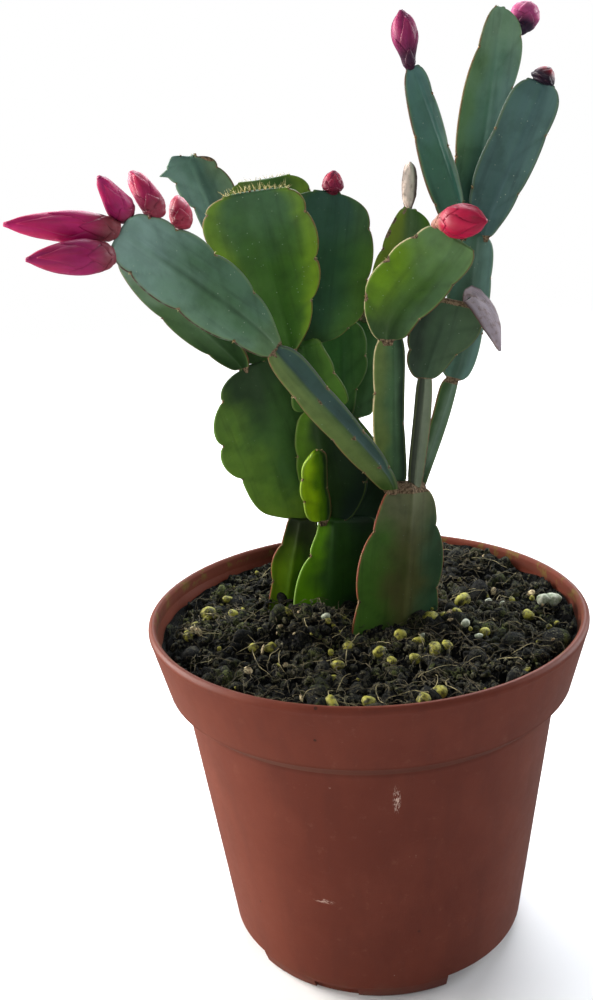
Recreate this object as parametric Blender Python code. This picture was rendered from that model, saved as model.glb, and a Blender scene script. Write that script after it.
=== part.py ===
# Easter cactus in a nursery pot: pot, soil, flat stem segments, flower buds and dried flowers.
# The origin is the middle of the pot's underside, +Z is up, and -Y is the side seen first.
import math

import bmesh
import bpy
from mathutils import Vector, noise

MM = 0.001  # every size below is in millimetres
GAP = 0.3  # clearance between two pieces that touch on the plant

# Pot
POT_HEIGHT = 96.5
RIM_RADIUS = 60.0
COLLAR_RADIUS = 55.7  # collar's lower corner
COLLAR_BOTTOM = 78.1
WALL_TOP_RADIUS = 51.5
WALL_TOP = 74.3
WALL_FOOT_RADIUS = 42.1
FOOT_RADIUS = 40.8
FOOT_BEVEL = 3.8
WALL = 1.4
LIP_RADIUS = 59.2  # collar's upper edge, under the rim bead
LIP_BOTTOM = 92.4
RIM_ROUND = 0.8
FLOOR = 2.0  # floor thickness inside the foot ring
FOOT_RING_TOP = 6.2  # inside height of the ring over the pockets
FOOT_RING_RADIUS = 33.0
POT_SIDES = 72
POCKET_HEIGHT = 4.2
POCKET_ARC = 45.0  # degrees
POCKET_DEPTH = 5.5
POCKET_AZIMUTHS = (48.0, 168.0, 288.0)  # degrees from -Y towards +X
NOTCH_AZIMUTHS = (-17.0, 103.0, 223.0)  # the shallow grooves between the pockets
NOTCH_ARC = 17.0
NOTCH_DEPTH = 0.8
DRAIN_WIDTH = 8.0
DRAIN_BOTTOM = 1.2
DRAIN_TOP = 3.4

# Soil
SOIL_LEVEL = 90.4  # in the middle of the pot
SOIL_TILT_X = 0.022  # rise towards +X, per millimetre
SOIL_TILT_Y = 0.020
SOIL_BANK = 1.2  # rise of the soil's edge where it meets the wall
CLOD = (-17.0, -3.0, 11.0, 4.0)  # x, y, radius and height of the clod before the stems
LUMP_HEIGHT = 1.4
LUMP_SIZE = 7.0
HOLE_GAP = 0.6  # clearance of a stem's foot in the soil
HOLE_ROWS = 0.62  # share of a pad's rows that its hole takes in
SOIL_RINGS = 15
SOIL_SECTORS = 44

# Segments
STEM_FOOT = 80.0  # height at which the lowest pads end, in the soil
RIM_THICKNESS = 1.0
ROW_LIMIT = 0.09  # largest step between two rows of a blade
BLADE_COLUMNS = (-1.0, -0.52, 0.0, 0.52, 1.0)
TIP_REACH = 0.33  # share of the length over which the midrib straightens before its tip
SCALLOP_POWER = 0.7  # below 1, the scallops are full and the notches between them narrow

# Buds
BUD_SIDES = 10
BUD_ROWS = 9
BUD_RISE = 0.12  # share of the length over which a bud turns from its seat to its tip
SEPAL_RELIEF = 0.08

TONES = {
    "terracotta": (0.42, 0.115, 0.065, 0.5),
    "peat": (0.035, 0.028, 0.02, 0.95),
    "green": (0.06, 0.17, 0.03, 0.42),
    "blue green": (0.075, 0.17, 0.105, 0.45),
    "dark green": (0.03, 0.095, 0.035, 0.42),
    "yellow green": (0.14, 0.27, 0.02, 0.42),
    "old green": (0.10, 0.115, 0.06, 0.6),
    "cork": (0.13, 0.11, 0.075, 0.8),
    "crimson": (0.42, 0.012, 0.05, 0.35),
    "papery": (0.36, 0.29, 0.28, 0.85),
}


def clear_scene():
    for item in list(bpy.data.objects):
        bpy.data.objects.remove(item, do_unlink=True)


def tone_material(name, tone):
    red, green, blue, roughness = TONES[tone]
    material = bpy.data.materials.new(name + "_finish")
    material.use_nodes = True
    shader = material.node_tree.nodes["Principled BSDF"]
    shader.inputs["Base Color"].default_value = (red, green, blue, 1.0)
    shader.inputs["Roughness"].default_value = roughness
    shader.inputs["Metallic"].default_value = 0.0
    material.diffuse_color = (red, green, blue, 1.0)
    return material


def add_piece(name, mesh, tone, crease=40.0):
    """Put a mesh in the scene as one named sub-part, shaded smooth up to the crease angle."""
    mesh.shade_smooth()
    mesh.set_sharp_from_angle(angle=math.radians(crease))
    mesh.materials.append(tone_material(name, tone))
    piece = bpy.data.objects.new(name, mesh)
    bpy.context.scene.collection.objects.link(piece)
    return piece


def mesh_of(name, points, faces):
    """Make a mesh from points in millimetres."""
    mesh = bpy.data.meshes.new(name)
    mesh.from_pydata([tuple(MM * Vector(point)) for point in points], [], faces)
    mesh.validate()
    return mesh


def smooth_value(values, t):
    """Value at t (0 to 1) of a smooth curve through evenly spaced values."""
    last = len(values) - 1
    place = min(max(t, 0.0), 1.0) * last
    index = min(int(place), last - 1)
    part = place - index
    before = values[max(index - 1, 0)]
    start = values[index]
    end = values[index + 1]
    after = values[min(index + 2, last)]
    slope_in = (end - before) / 2
    slope_out = (after - start) / 2
    cubic = 2 * start - 2 * end + slope_in + slope_out
    square = -3 * start + 3 * end - 2 * slope_in - slope_out
    return ((cubic * part + square) * part + slope_in) * part + start


class Spine:
    """The midrib of a segment: a curve from its seat to its tip, with a facing direction."""

    def __init__(self, base, start, tip, facing, rise, bow):
        angle = math.radians(facing)
        self.front = Vector((math.sin(angle), -math.cos(angle), 0.0))
        chord = tip - base
        ahead = chord.normalized()
        outward = (self.front - self.front.dot(ahead) * ahead).normalized()
        self.knots = (
            base,
            base + start.normalized() * (chord.length * rise),
            tip - ahead * (chord.length * TIP_REACH) + outward * (bow * 2.0),
            tip,
        )
        self.length = chord.length

    def frame(self, t):
        """Point, direction, side and face normal at t; rows bunch at both ends."""
        u = (1 - math.cos(math.pi * t)) / 2
        v = 1 - u
        a, b, c, d = self.knots
        point = v * v * v * a + 3 * v * v * u * b + 3 * v * u * u * c + u * u * u * d
        ahead = (v * v * (b - a) + 2 * v * u * (c - b) + u * u * (d - c)).normalized()
        normal = (self.front - self.front.dot(ahead) * ahead).normalized()
        return point, ahead, ahead.cross(normal), normal


def station_of(fraction):
    """Row parameter of a place given as a fraction of the length."""
    return math.acos(1 - 2 * fraction) / math.pi


def scalloped(values, cuts, depth, t):
    """Half-width at t, with rounded scallops between the notches of the margin."""
    edges = [0.0] + [station_of(cut) for cut in cuts] + [1.0]
    width = smooth_value(values, t)
    for low, high in zip(edges, edges[1:]):
        if low <= t <= high:
            part = (t - low) / (high - low)
            swell = (4 * part * (1 - part)) ** SCALLOP_POWER - 0.6
            return width + depth * swell * math.sqrt(math.sin(math.pi * t))
    return width


def row_stations(left_cuts, right_cuts):
    """Rows of a blade: its ends, every notch of either margin, and even steps between."""
    marks = {0.0, 1.0}
    for cut in left_cuts + right_cuts:
        marks.add(round(station_of(cut), 4))
    marks = sorted(marks)
    rows = [0.0]
    for low, high in zip(marks, marks[1:]):
        steps = max(1, math.ceil((high - low) / ROW_LIMIT))
        rows += [low + (high - low) * step / steps for step in range(1, steps + 1)]
    return rows


def blade_mesh(name, blade, grow=0.0, rows_to=1.0):
    """Closed blade: front and back faces, a narrow rim down both margins and two ends."""
    rows = [t for t in row_stations(blade["left_cuts"], blade["right_cuts"]) if t <= rows_to]
    columns = len(BLADE_COLUMNS)
    points = []
    for t in rows:
        point, ahead, side, normal = blade["spine"].frame(t)
        if grow and t == 0.0:
            point = point - ahead * grow
        left = scalloped(blade["left"], blade["left_cuts"], blade["depth"], t) + grow
        right = scalloped(blade["right"], blade["right_cuts"], blade["depth"], t) + grow
        middle = smooth_value(blade["thick"], t)
        for face in (1, -1):
            for part in BLADE_COLUMNS:
                width = right if part > 0 else left
                rim = min(RIM_THICKNESS, middle)
                thick = rim + (middle - rim) * (1 - abs(part)) ** blade["ridge"]
                lift = blade["cup"] * part * part + face * (thick / 2 + grow)
                points.append(point + side * (part * width) + normal * lift)
    faces = []
    for row in range(len(rows) - 1):
        low = row * 2 * columns
        high = low + 2 * columns
        for i in range(columns - 1):
            a, b, c, d = low + i, low + i + 1, high + i + 1, high + i
            faces += [(a, b, c), (a, c, d)]
            a, b, c, d = (k + columns for k in (a, b, c, d))
            faces += [(a, c, b), (a, d, c)]
        for i, turn in ((0, 1), (columns - 1, -1)):
            a, b, c, d = low + i, high + i, high + i + columns, low + i + columns
            faces += [(a, b, c)[::turn], (a, c, d)[::turn]]
    top = (len(rows) - 1) * 2 * columns
    faces.append(tuple(range(columns - 1, -1, -1)) + tuple(range(columns, 2 * columns)))
    front_end = tuple(top + i for i in range(columns))
    back_end = tuple(top + i for i in range(2 * columns - 1, columns - 1, -1))
    faces.append(front_end + back_end)
    return mesh_of(name, points, faces)


def grow_segment(name, seat, tip, facing, left, right, left_cuts=(), right_cuts=(), tone="green",
                 thick=2.6, neck=2.0, crown=1.8, depth=1.1, rise=0.2, bow=0.6, cup=0.8, ridge=1.4):
    """Make one flat segment; seat is its base point and the direction in which it starts."""
    base, start = seat
    blade = {
        "spine": Spine(base, start, Vector(tip), facing, rise, bow),
        "left": left,
        "right": right,
        "left_cuts": left_cuts,
        "right_cuts": right_cuts,
        "depth": depth,
        "thick": (neck, (neck + thick) / 2, thick, thick, (thick + crown) / 2, crown),
        "cup": cup,
        "ridge": ridge,
    }
    add_piece(name, blade_mesh(name, blade), tone)
    return blade


def in_soil(x, y):
    """Seat of a pad that stands in the soil."""
    return Vector((x, y, STEM_FOOT)), Vector((0.0, 0.0, 1.0))


def on_top(blade, across, out=0.0):
    """Seat on the end of a segment: across it, and out from its middle towards its face."""
    point, ahead, side, normal = blade["spine"].frame(1.0)
    return point + side * across + normal * out + ahead * GAP, ahead


def margin_point(blade, hand, t):
    """Point of the left (-1) or right (+1) margin."""
    point, ahead, side, normal = blade["spine"].frame(t)
    name = "left" if hand < 0 else "right"
    width = scalloped(blade[name], blade[name + "_cuts"], blade["depth"], t)
    return point + side * (hand * width) + normal * blade["cup"]


def on_margin(blade, hand, fraction, out=0.0):
    """Seat on a margin, pointing straight out of it in the plane of the segment."""
    t = station_of(fraction)
    step = 0.02
    along = margin_point(blade, hand, t + step) - margin_point(blade, hand, t - step)
    normal = blade["spine"].frame(t)[3]
    outward = (normal.cross(along) * -hand).normalized()
    return margin_point(blade, hand, t) + normal * out + outward * GAP, outward


def grow_bud(name, seat, tip, radius, tone="crimson", foot=0.42):
    """Closed bud: a narrow tube that swells and ends in a point, with low overlapping sepals.

    foot is the tube's share of the greatest radius. The bud leans from its seat's direction
    towards its tip, so its foot is lifted until the whole end ring clears the segment.
    """
    base, start = seat
    tip = Vector(tip)
    ahead = (start + (tip - base).normalized()).normalized()
    lean = math.sqrt(1.0 - ahead.dot(start) ** 2)
    spine = Spine(base + start * (foot * radius * lean), ahead, tip, 0.0, BUD_RISE, 0.0)
    profile = (foot, foot * 0.9 + 0.1, foot * 0.35 + 0.62, 1.0, 0.97, 0.8, 0.52, 0.16)
    points = []
    for row in range(BUD_ROWS + 1):
        u = row / BUD_ROWS
        centre, ahead, side, normal = spine.frame(station_of(u))
        for corner in range(BUD_SIDES):
            angle = 2 * math.pi * corner / BUD_SIDES
            sepal = math.cos(BUD_SIDES * angle / 2 + math.pi * row) * math.sin(math.pi * u)
            reach = radius * smooth_value(profile, u) * (1.0 + SEPAL_RELIEF * sepal)
            points.append(centre + side * (reach * math.cos(angle)) + normal * (reach * math.sin(angle)))
    faces = [tuple(range(BUD_SIDES)), tuple(BUD_ROWS * BUD_SIDES + i for i in reversed(range(BUD_SIDES)))]
    for row in range(BUD_ROWS):
        for i in range(BUD_SIDES):
            j = (i + 1) % BUD_SIDES
            low = row * BUD_SIDES
            high = low + BUD_SIDES
            faces.append((low + i, high + i, high + j, low + j))
    add_piece(name, mesh_of(name, points, faces), tone, crease=60.0)


def turned_mesh(name, profile, sides):
    """Solid of revolution from an outline that starts and ends on the axis, at its underside."""
    bottom, *rings, top = profile
    points = [(0.0, 0.0, bottom[1])]
    for radius, height in rings:
        for step in range(sides):
            angle = 2 * math.pi * step / sides
            points.append((radius * math.cos(angle), radius * math.sin(angle), height))
    points.append((0.0, 0.0, top[1]))
    last = len(points) - 1
    faces = []
    for step in range(sides):
        following = (step + 1) % sides
        faces.append((0, 1 + following, 1 + step))
        for ring in range(len(rings) - 1):
            low = 1 + ring * sides
            high = low + sides
            faces.append((low + step, low + following, high + following, high + step))
        outer = 1 + (len(rings) - 1) * sides
        faces.append((last, outer + step, outer + following))
    return mesh_of(name, points, faces)


def arc_blocks(name, azimuths, arc, inner, outer, bottom, top, steps):
    """Cutter: blocks bent round the pot's axis, one for each azimuth."""
    points = []
    faces = []
    for azimuth in azimuths:
        first = len(points)
        for step in range(steps + 1):
            angle = math.radians(azimuth - arc / 2 + arc * step / steps)
            for radius, height in ((inner, bottom), (outer, bottom), (outer, top), (inner, top)):
                points.append((radius * math.sin(angle), -radius * math.cos(angle), height))
        for step in range(steps):
            low = first + step * 4
            high = low + 4
            for i in range(4):
                j = (i + 1) % 4
                faces.append((low + i, low + j, high + j, high + i))
        end = first + steps * 4
        faces.append((first + 3, first + 2, first + 1, first))
        faces.append((end, end + 1, end + 2, end + 3))
    mesh = mesh_of(name, points, faces)
    return outward_cutter(name, mesh)


def outward_cutter(name, mesh):
    """Put a cutter in the scene with its faces out; it is never part of the object."""
    shell = bmesh.new()
    shell.from_mesh(mesh)
    bmesh.ops.recalc_face_normals(shell, faces=shell.faces)
    shell.to_mesh(mesh)
    shell.free()
    cutter = bpy.data.objects.new(name, mesh)
    bpy.context.scene.collection.objects.link(cutter)
    cutter.hide_render = True
    cutter.display_type = "WIRE"
    return cutter


def cut(piece, cutter):
    boolean = piece.modifiers.new(cutter.name, "BOOLEAN")
    boolean.operation = "DIFFERENCE"
    boolean.solver = "EXACT"
    boolean.object = cutter


def wall_radius(height):
    """Outer radius of the pot's straight wall."""
    part = (height - FOOT_BEVEL) / (WALL_TOP - FOOT_BEVEL)
    return WALL_FOOT_RADIUS + (WALL_TOP_RADIUS - WALL_FOOT_RADIUS) * part


def collar_radius(height):
    """Outer radius of the conical collar."""
    part = (height - COLLAR_BOTTOM) / (LIP_BOTTOM - COLLAR_BOTTOM)
    return COLLAR_RADIUS + (LIP_RADIUS - COLLAR_RADIUS) * part


def inner_outline(shrink=0.0):
    """The pot's hollow from its shoulder down to the floor's middle, as radius and height."""
    return [
        (COLLAR_RADIUS - WALL - shrink, COLLAR_BOTTOM + WALL / 2 + shrink),
        (WALL_TOP_RADIUS - WALL - shrink, WALL_TOP + shrink),
        (wall_radius(FOOT_RING_TOP) - WALL - shrink, FOOT_RING_TOP + shrink),
        (FOOT_RING_RADIUS - shrink, FOOT_RING_TOP + shrink),
        (FOOT_RING_RADIUS - shrink, FLOOR + shrink),
        (0.0, FLOOR + shrink),
    ]


def make_pot():
    outside = [
        (0.0, 0.0),
        (FOOT_RADIUS, 0.0),
        (WALL_FOOT_RADIUS, FOOT_BEVEL),
        (WALL_TOP_RADIUS, WALL_TOP),
        (COLLAR_RADIUS, COLLAR_BOTTOM),
        (LIP_RADIUS, LIP_BOTTOM),
        (RIM_RADIUS, LIP_BOTTOM + RIM_ROUND),
        (RIM_RADIUS, POT_HEIGHT - RIM_ROUND),
        (RIM_RADIUS - RIM_ROUND, POT_HEIGHT),
        (RIM_RADIUS - 2 * RIM_ROUND, POT_HEIGHT),
        (LIP_RADIUS - WALL, POT_HEIGHT - RIM_ROUND),
        (LIP_RADIUS - WALL, LIP_BOTTOM),
    ]
    pot = add_piece("pot", turned_mesh("pot", outside + inner_outline(), POT_SIDES), "terracotta")
    pockets = arc_blocks("pocket_cutter", POCKET_AZIMUTHS, POCKET_ARC, FOOT_RADIUS - POCKET_DEPTH,
                         RIM_RADIUS, -POCKET_HEIGHT, POCKET_HEIGHT, 9)
    notches = arc_blocks("notch_cutter", NOTCH_AZIMUTHS, NOTCH_ARC, FOOT_RADIUS - NOTCH_DEPTH,
                         RIM_RADIUS, -POCKET_HEIGHT, FOOT_BEVEL * 0.7, 5)
    drain_arc = math.degrees(DRAIN_WIDTH / FOOT_RING_RADIUS)
    drains = arc_blocks("drain_cutter", POCKET_AZIMUTHS, drain_arc, FOOT_RING_RADIUS - 2.0,
                        FOOT_RADIUS - POCKET_DEPTH + 1.0, DRAIN_BOTTOM, DRAIN_TOP, 2)
    for cutter in (pockets, notches, drains):
        cut(pot, cutter)


def soil_height(x, y):
    """Height of the soil's surface: tilted, banked at the wall, with one clod and soft lumps."""
    radius = math.hypot(x, y)
    clod_x, clod_y, clod_radius, clod_height = CLOD
    clod = clod_height * math.exp(-((x - clod_x) ** 2 + (y - clod_y) ** 2) / clod_radius**2)
    bank = SOIL_BANK * (radius / COLLAR_RADIUS) ** 4
    lump = LUMP_HEIGHT * noise.noise(Vector((x, y, 0.0)) / LUMP_SIZE)
    return SOIL_LEVEL + SOIL_TILT_X * x + SOIL_TILT_Y * y + bank + clod + lump


def make_soil(stems):
    """Soil that fills the pot, with a plain hole for the foot of each stem."""
    points = [(0.0, 0.0, soil_height(0.0, 0.0))]
    for ring in range(1, SOIL_RINGS + 1):
        for step in range(SOIL_SECTORS):
            angle = 2 * math.pi * (step + 0.5 * (ring % 2)) / SOIL_SECTORS
            edge = collar_radius(SOIL_LEVEL) - WALL - 2 * GAP
            radius = edge * ring / SOIL_RINGS
            x = radius * math.cos(angle)
            y = radius * math.sin(angle)
            height = soil_height(x, y)
            if ring == SOIL_RINGS:
                radius = collar_radius(min(height, LIP_BOTTOM)) - WALL - 1.7 * GAP
                x = radius * math.cos(angle)
                y = radius * math.sin(angle)
            points.append((x, y, height))
    turn = 0.5 * (SOIL_RINGS % 2)
    wall_rings = inner_outline(shrink=1.3 * GAP)
    for radius, height in wall_rings[:-1]:
        for step in range(SOIL_SECTORS):
            angle = 2 * math.pi * (step + turn) / SOIL_SECTORS
            points.append((radius * math.cos(angle), radius * math.sin(angle), height))
    points.append((0.0, 0.0, wall_rings[-1][1]))
    rings = SOIL_RINGS + len(wall_rings) - 1
    last = len(points) - 1
    faces = []
    for step in range(SOIL_SECTORS):
        following = (step + 1) % SOIL_SECTORS
        faces.append((0, 1 + step, 1 + following))
        for ring in range(rings - 1):
            low = 1 + ring * SOIL_SECTORS
            high = low + SOIL_SECTORS
            a, b, c, d = low + step, low + following, high + following, high + step
            if ring % 2 == 0 or ring >= SOIL_RINGS - 1:
                faces += [(a, d, b), (b, d, c)]
            else:
                faces += [(a, c, b), (a, d, c)]
        bottom = 1 + (rings - 1) * SOIL_SECTORS
        faces.append((last, bottom + following, bottom + step))
    soil = add_piece("soil", mesh_of("soil", points, faces), "peat")
    for name, blade in stems.items():
        hole = blade_mesh(name + "_hole", blade, grow=HOLE_GAP, rows_to=HOLE_ROWS)
        cut(soil, outward_cutter(name + "_hole", hole))


def grow_left_stem():
    a0 = grow_segment("segment_a0", in_soil(-24.0, 20.0), (-17.5, 17.0, 115.6), -5.0,
                      (4.5, 5.6, 5.6, 6.1, 4.0, 3.8), (4.5, 6.0, 7.0, 6.4, 5.4, 4.8),
                      (0.50, 0.80), (0.5, 0.74), thick=3.2, neck=3.0, crown=2.4)
    a1 = grow_segment("segment_a1", on_top(a0, -0.4, -1.4), (-27.2, 15.5, 161.6), 16.0,
                      (3.5, 9.6, 14.4, 17.6, 12.2, 5.0), (3.0, 7.6, 10.5, 11.5, 9.5, 4.5),
                      (0.445, 0.66, 0.875), (0.25, 0.55, 0.8), thick=3.0, crown=2.6, depth=2.2)
    grow_segment("segment_a2", on_top(a1, -3.4, 0.3), (-55.0, -12.0, 196.0), -20.0,
                 (1.5, 3.4, 6.6, 7.3, 4.4, 1.5), (1.5, 2.4, 4.8, 6.0, 5.0, 1.5),
                 (0.3, 0.62), (0.35, 0.7), tone="dark green", rise=0.10)
    a3 = grow_segment("segment_a3", on_top(a1, 2.2, -0.3), (-33.0, 24.0, 188.5), 10.0,
                      (1.6, 3.5, 6.6, 7.0, 6.0, 3.0), (2.0, 5.5, 7.5, 7.5, 6.0, 3.0),
                      (0.5,), (0.45,), tone="dark green", rise=0.1)
    a4 = grow_segment("segment_a4", on_top(a3, 0.0), (-42.0, 29.0, 216.5), 0.0,
                      (2.0, 2.6, 3.6, 5.6, 7.8, 7.4), (2.0, 5.0, 7.5, 7.6, 5.6, 1.6),
                      (0.62, 0.86), (0.5, 0.86), tone="blue green", depth=1.4, bow=-2.0)
    return {"segment_a0": a0}


def grow_middle_stem():
    b0 = grow_segment("segment_b0", in_soil(-10.5, 13.0), (-8.0, 14.0, 116.2), 5.0,
                      (7.0, 9.2, 10.2, 9.2, 4.4, 4.8), (7.0, 9.8, 12.0, 13.0, 12.8, 11.8),
                      (0.74,), (0.45, 0.75), thick=3.4, neck=3.2, crown=4.6, depth=2.6)
    b1 = grow_segment("segment_b1", on_top(b0, 0.4, -0.2), (-11.0, 11.5, 149.0), -10.0,
                      (2.6, 6.0, 7.8, 8.4, 6.0, 3.8), (2.6, 5.5, 9.6, 11.0, 9.0, 4.4),
                      (0.3, 0.66), (0.4, 0.75), tone="dark green", thick=3.0, crown=2.2)
    grow_segment("segment_b2", on_top(b0, -3.4, 1.5), (-11.5, 3.0, 139.8), 30.0,
                 (1.5, 4.2, 5.8, 6.2, 5.0, 2.4), (1.3, 1.9, 2.3, 2.5, 2.6, 1.6),
                 (0.45, 0.76), (0.5,), tone="yellow green", thick=2.2, depth=0.7, bow=-0.6)
    b3 = grow_segment("segment_b3", on_top(b1, 0.0), (-13.5, 8.0, 167.3), 0.0,
                      (2.2, 5.5, 6.6, 6.4, 5.6, 5.0), (3.0, 7.8, 8.4, 7.0, 5.0, 4.8),
                      (0.4,), (0.62,), crown=6.4, depth=1.2, rise=0.12)
    grow_segment("segment_b4", on_top(b3, -3.0, 2.2), (-22.0, -15.0, 208.0), -5.0,
                 (1.6, 5.6, 9.6, 13.0, 13.6, 8.0), (1.4, 2.4, 7.6, 12.0, 11.4, 8.4),
                 (0.35, 0.68, 0.93), (0.42, 0.64, 0.88), tone="yellow green", depth=1.4, rise=0.12)
    b5 = grow_segment("segment_b5", on_top(b3, 2.9, -0.4), (-5.0, 10.0, 206.0), 10.0,
                      (1.5, 3.6, 8.2, 11.0, 10.5, 4.5), (1.5, 5.6, 12.0, 12.8, 10.2, 2.8),
                      (0.3, 0.6, 0.85), (0.22, 0.55, 0.82), tone="dark green", rise=0.10)
    grow_segment("segment_b6", on_top(b3, -1.6, -2.3), (-21.2, 29.0, 209.6), 5.0,
                 (1.4, 4.4, 9.0, 12.2, 12.2, 9.0), (1.4, 3.0, 8.0, 11.5, 10.4, 5.6),
                 (0.3, 0.6, 0.88), (0.35, 0.65, 0.9), rise=0.08)
    return {"segment_b0": b0}, b5


def grow_back_twig(b0):
    e0 = grow_segment("segment_e0", on_top(b0, 5.2, -1.0), (4.5, 20.0, 126.0), 10.0,
                      (1.2, 1.5, 2.3, 2.8, 2.6, 1.8), (1.2, 2.8, 7.8, 8.5, 6.0, 2.2),
                      (), (0.5,), tone="dark green", thick=2.6, crown=3.4, depth=0.6, rise=0.18, bow=-0.5)
    e1 = grow_segment("segment_e1", on_top(e0, 0.0), (-3.0, 29.0, 141.0), 10.0,
                      (1.4, 2.0, 2.6, 3.2, 3.2, 3.0), (1.4, 2.0, 2.6, 3.2, 3.2, 3.0),
                      (0.5,), (0.5,), tone="dark green", crown=4.8, depth=0.4, rise=0.32)
    grow_segment("segment_e2", on_top(e1, -0.6, 1.3), (-4.0, 23.0, 171.6), 10.0,
                 (1.5, 3.6, 7.2, 8.0, 6.5, 3.0), (1.5, 2.8, 4.8, 7.6, 6.0, 2.6),
                 (0.35, 0.66), (0.40, 0.7), rise=0.20)
    return grow_segment("segment_e3", on_top(e1, 0.6, -1.3), (3.0, 38.0, 168.5), 5.0,
                        (1.5, 5.0, 7.5, 8.0, 6.5, 3.0), (1.5, 5.4, 7.4, 7.6, 6.5, 3.0),
                        (0.35, 0.66), (0.36, 0.7), tone="blue green", rise=0.16)


def grow_front_stem():
    c0 = grow_segment("segment_c0", in_soil(7.6, 1.2), (12.0, 6.0, 127.4), 28.0,
                      (9.0, 13.4, 14.2, 12.8, 7.8, 5.6), (9.0, 12.0, 13.2, 12.4, 8.9, 6.2),
                      (0.42, 0.78), (0.46, 0.8), tone="old green", thick=5.2, neck=4.6, crown=7.6, depth=1.7)
    c1 = grow_segment("segment_c1", on_top(c0, -5.0, 1.9), (-18.5, -28.0, 173.0), 0.0,
                      (1.6, 3.4, 5.0, 4.8, 3.7, 2.4), (1.4, 1.4, 2.4, 3.5, 4.0, 2.2),
                      (0.3, 0.55, 0.8), (0.25, 0.5, 0.75), thick=5.0, neck=2.4, crown=2.4,
                      depth=0.4, rise=0.10, ridge=1.0)
    c2 = grow_segment("segment_c2", on_top(c1, 0.0), (-48.0, -46.5, 202.6), 35.0,
                      (1.8, 3.8, 6.3, 7.6, 6.6, 4.2), (1.8, 2.8, 7.0, 8.6, 6.8, 3.8),
                      (0.3, 0.62, 0.88), (0.35, 0.6, 0.8, 0.93), tone="blue green", thick=3.4)
    c3 = grow_segment("segment_c3", on_top(c0, -3.4, -1.8), (9.0, 2.0, 169.0), 15.0,
                      (2.6, 4.4, 5.0, 5.2, 4.8, 3.6), (2.4, 3.8, 3.6, 3.4, 3.6, 3.2),
                      (0.35, 0.7), (0.5,), thick=4.4, neck=2.6, crown=5.0, depth=0.5, ridge=1.1)
    c4 = grow_segment("segment_c4", on_top(c3, -1.0, 1.4), (25.2, -9.0, 194.2), -5.0,
                      (1.6, 4.8, 10.4, 10.8, 8.4, 6.6), (1.6, 4.0, 5.4, 6.4, 6.4, 5.2),
                      (0.3, 0.6, 0.85), (0.4, 0.75), tone="yellow green", depth=0.7)
    c5 = grow_segment("segment_c5", on_top(c3, 1.2, -1.9), (15.0, 14.0, 200.5), 20.0,
                      (1.5, 4.4, 7.4, 7.4, 3.8, 1.8), (1.5, 2.4, 4.2, 6.4, 6.4, 2.2),
                      (0.4, 0.7), (0.4, 0.7), rise=0.05)
    d0 = grow_segment("segment_d0", on_top(c0, 2.3, 0.9), (17.8, 7.5, 157.0), 10.0,
                      (1.5, 1.9, 2.2, 2.3, 2.3, 2.0), (1.5, 1.9, 2.2, 2.4, 2.3, 2.0),
                      tone="cork", thick=3.0, crown=2.6, depth=0.3, rise=0.15, ridge=1.0)
    d1 = grow_segment("segment_d1", on_top(d0, 0.0), (23.9, 5.6, 178.0), 10.0,
                      (1.8, 3.7, 6.4, 7.2, 6.0, 4.0), (1.8, 3.3, 6.2, 10.0, 11.4, 7.0),
                      (0.4, 0.75), (0.45, 0.8), tone="dark green")
    f0 = grow_segment("segment_f0", on_top(c0, 5.2, -1.2), (25.6, 14.0, 155.3), 10.0,
                      (1.5, 1.7, 1.8, 2.4, 3.0, 2.0), (1.5, 1.7, 2.0, 2.2, 2.0, 1.8),
                      thick=3.2, crown=2.6, depth=0.4, rise=0.15, ridge=1.0)
    f1 = grow_segment("segment_f1", on_top(f0, 0.0), (31.2, 14.0, 192.8), 20.0,
                      (1.8, 3.8, 5.0, 5.4, 5.2, 4.6), (1.8, 4.6, 6.4, 6.8, 6.2, 4.6),
                      (0.4, 0.75), (0.4, 0.75), tone="blue green", thick=4.6, crown=6.2,
                      depth=0.5, ridge=1.0)
    f2 = grow_segment("segment_f2", on_top(f1, -3.4, 1.5), (16.0, 4.0, 233.9), 15.0,
                      (1.4, 3.2, 5.8, 5.4, 3.4, 1.6), (1.4, 1.6, 2.2, 3.0, 3.3, 2.2),
                      (0.35, 0.7), (0.3, 0.6, 0.85), thick=3.6, depth=0.5, rise=0.10, ridge=1.2)
    f3 = grow_segment("segment_f3", on_top(f1, -0.4, -2.0), (39.0, 21.0, 248.0), 20.0,
                      (1.5, 3.8, 6.8, 6.6, 3.6, 1.2), (1.5, 3.8, 6.6, 7.0, 7.2, 1.8),
                      (0.4, 0.83), (0.35, 0.7, 0.9), thick=3.2, depth=0.8)
    f4 = grow_segment("segment_f4", on_top(f1, 3.0, 1.2), (47.3, 5.6, 229.0), 0.0,
                      (1.5, 3.4, 6.8, 7.0, 6.2, 3.8), (1.5, 3.0, 5.4, 6.2, 6.0, 3.6),
                      (0.35, 0.7), (0.4, 0.75), tone="blue green", thick=3.4, depth=0.5)
    return {"segment_c0": c0}, c2, c4, c5, d1, f2, f3, f4


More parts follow.
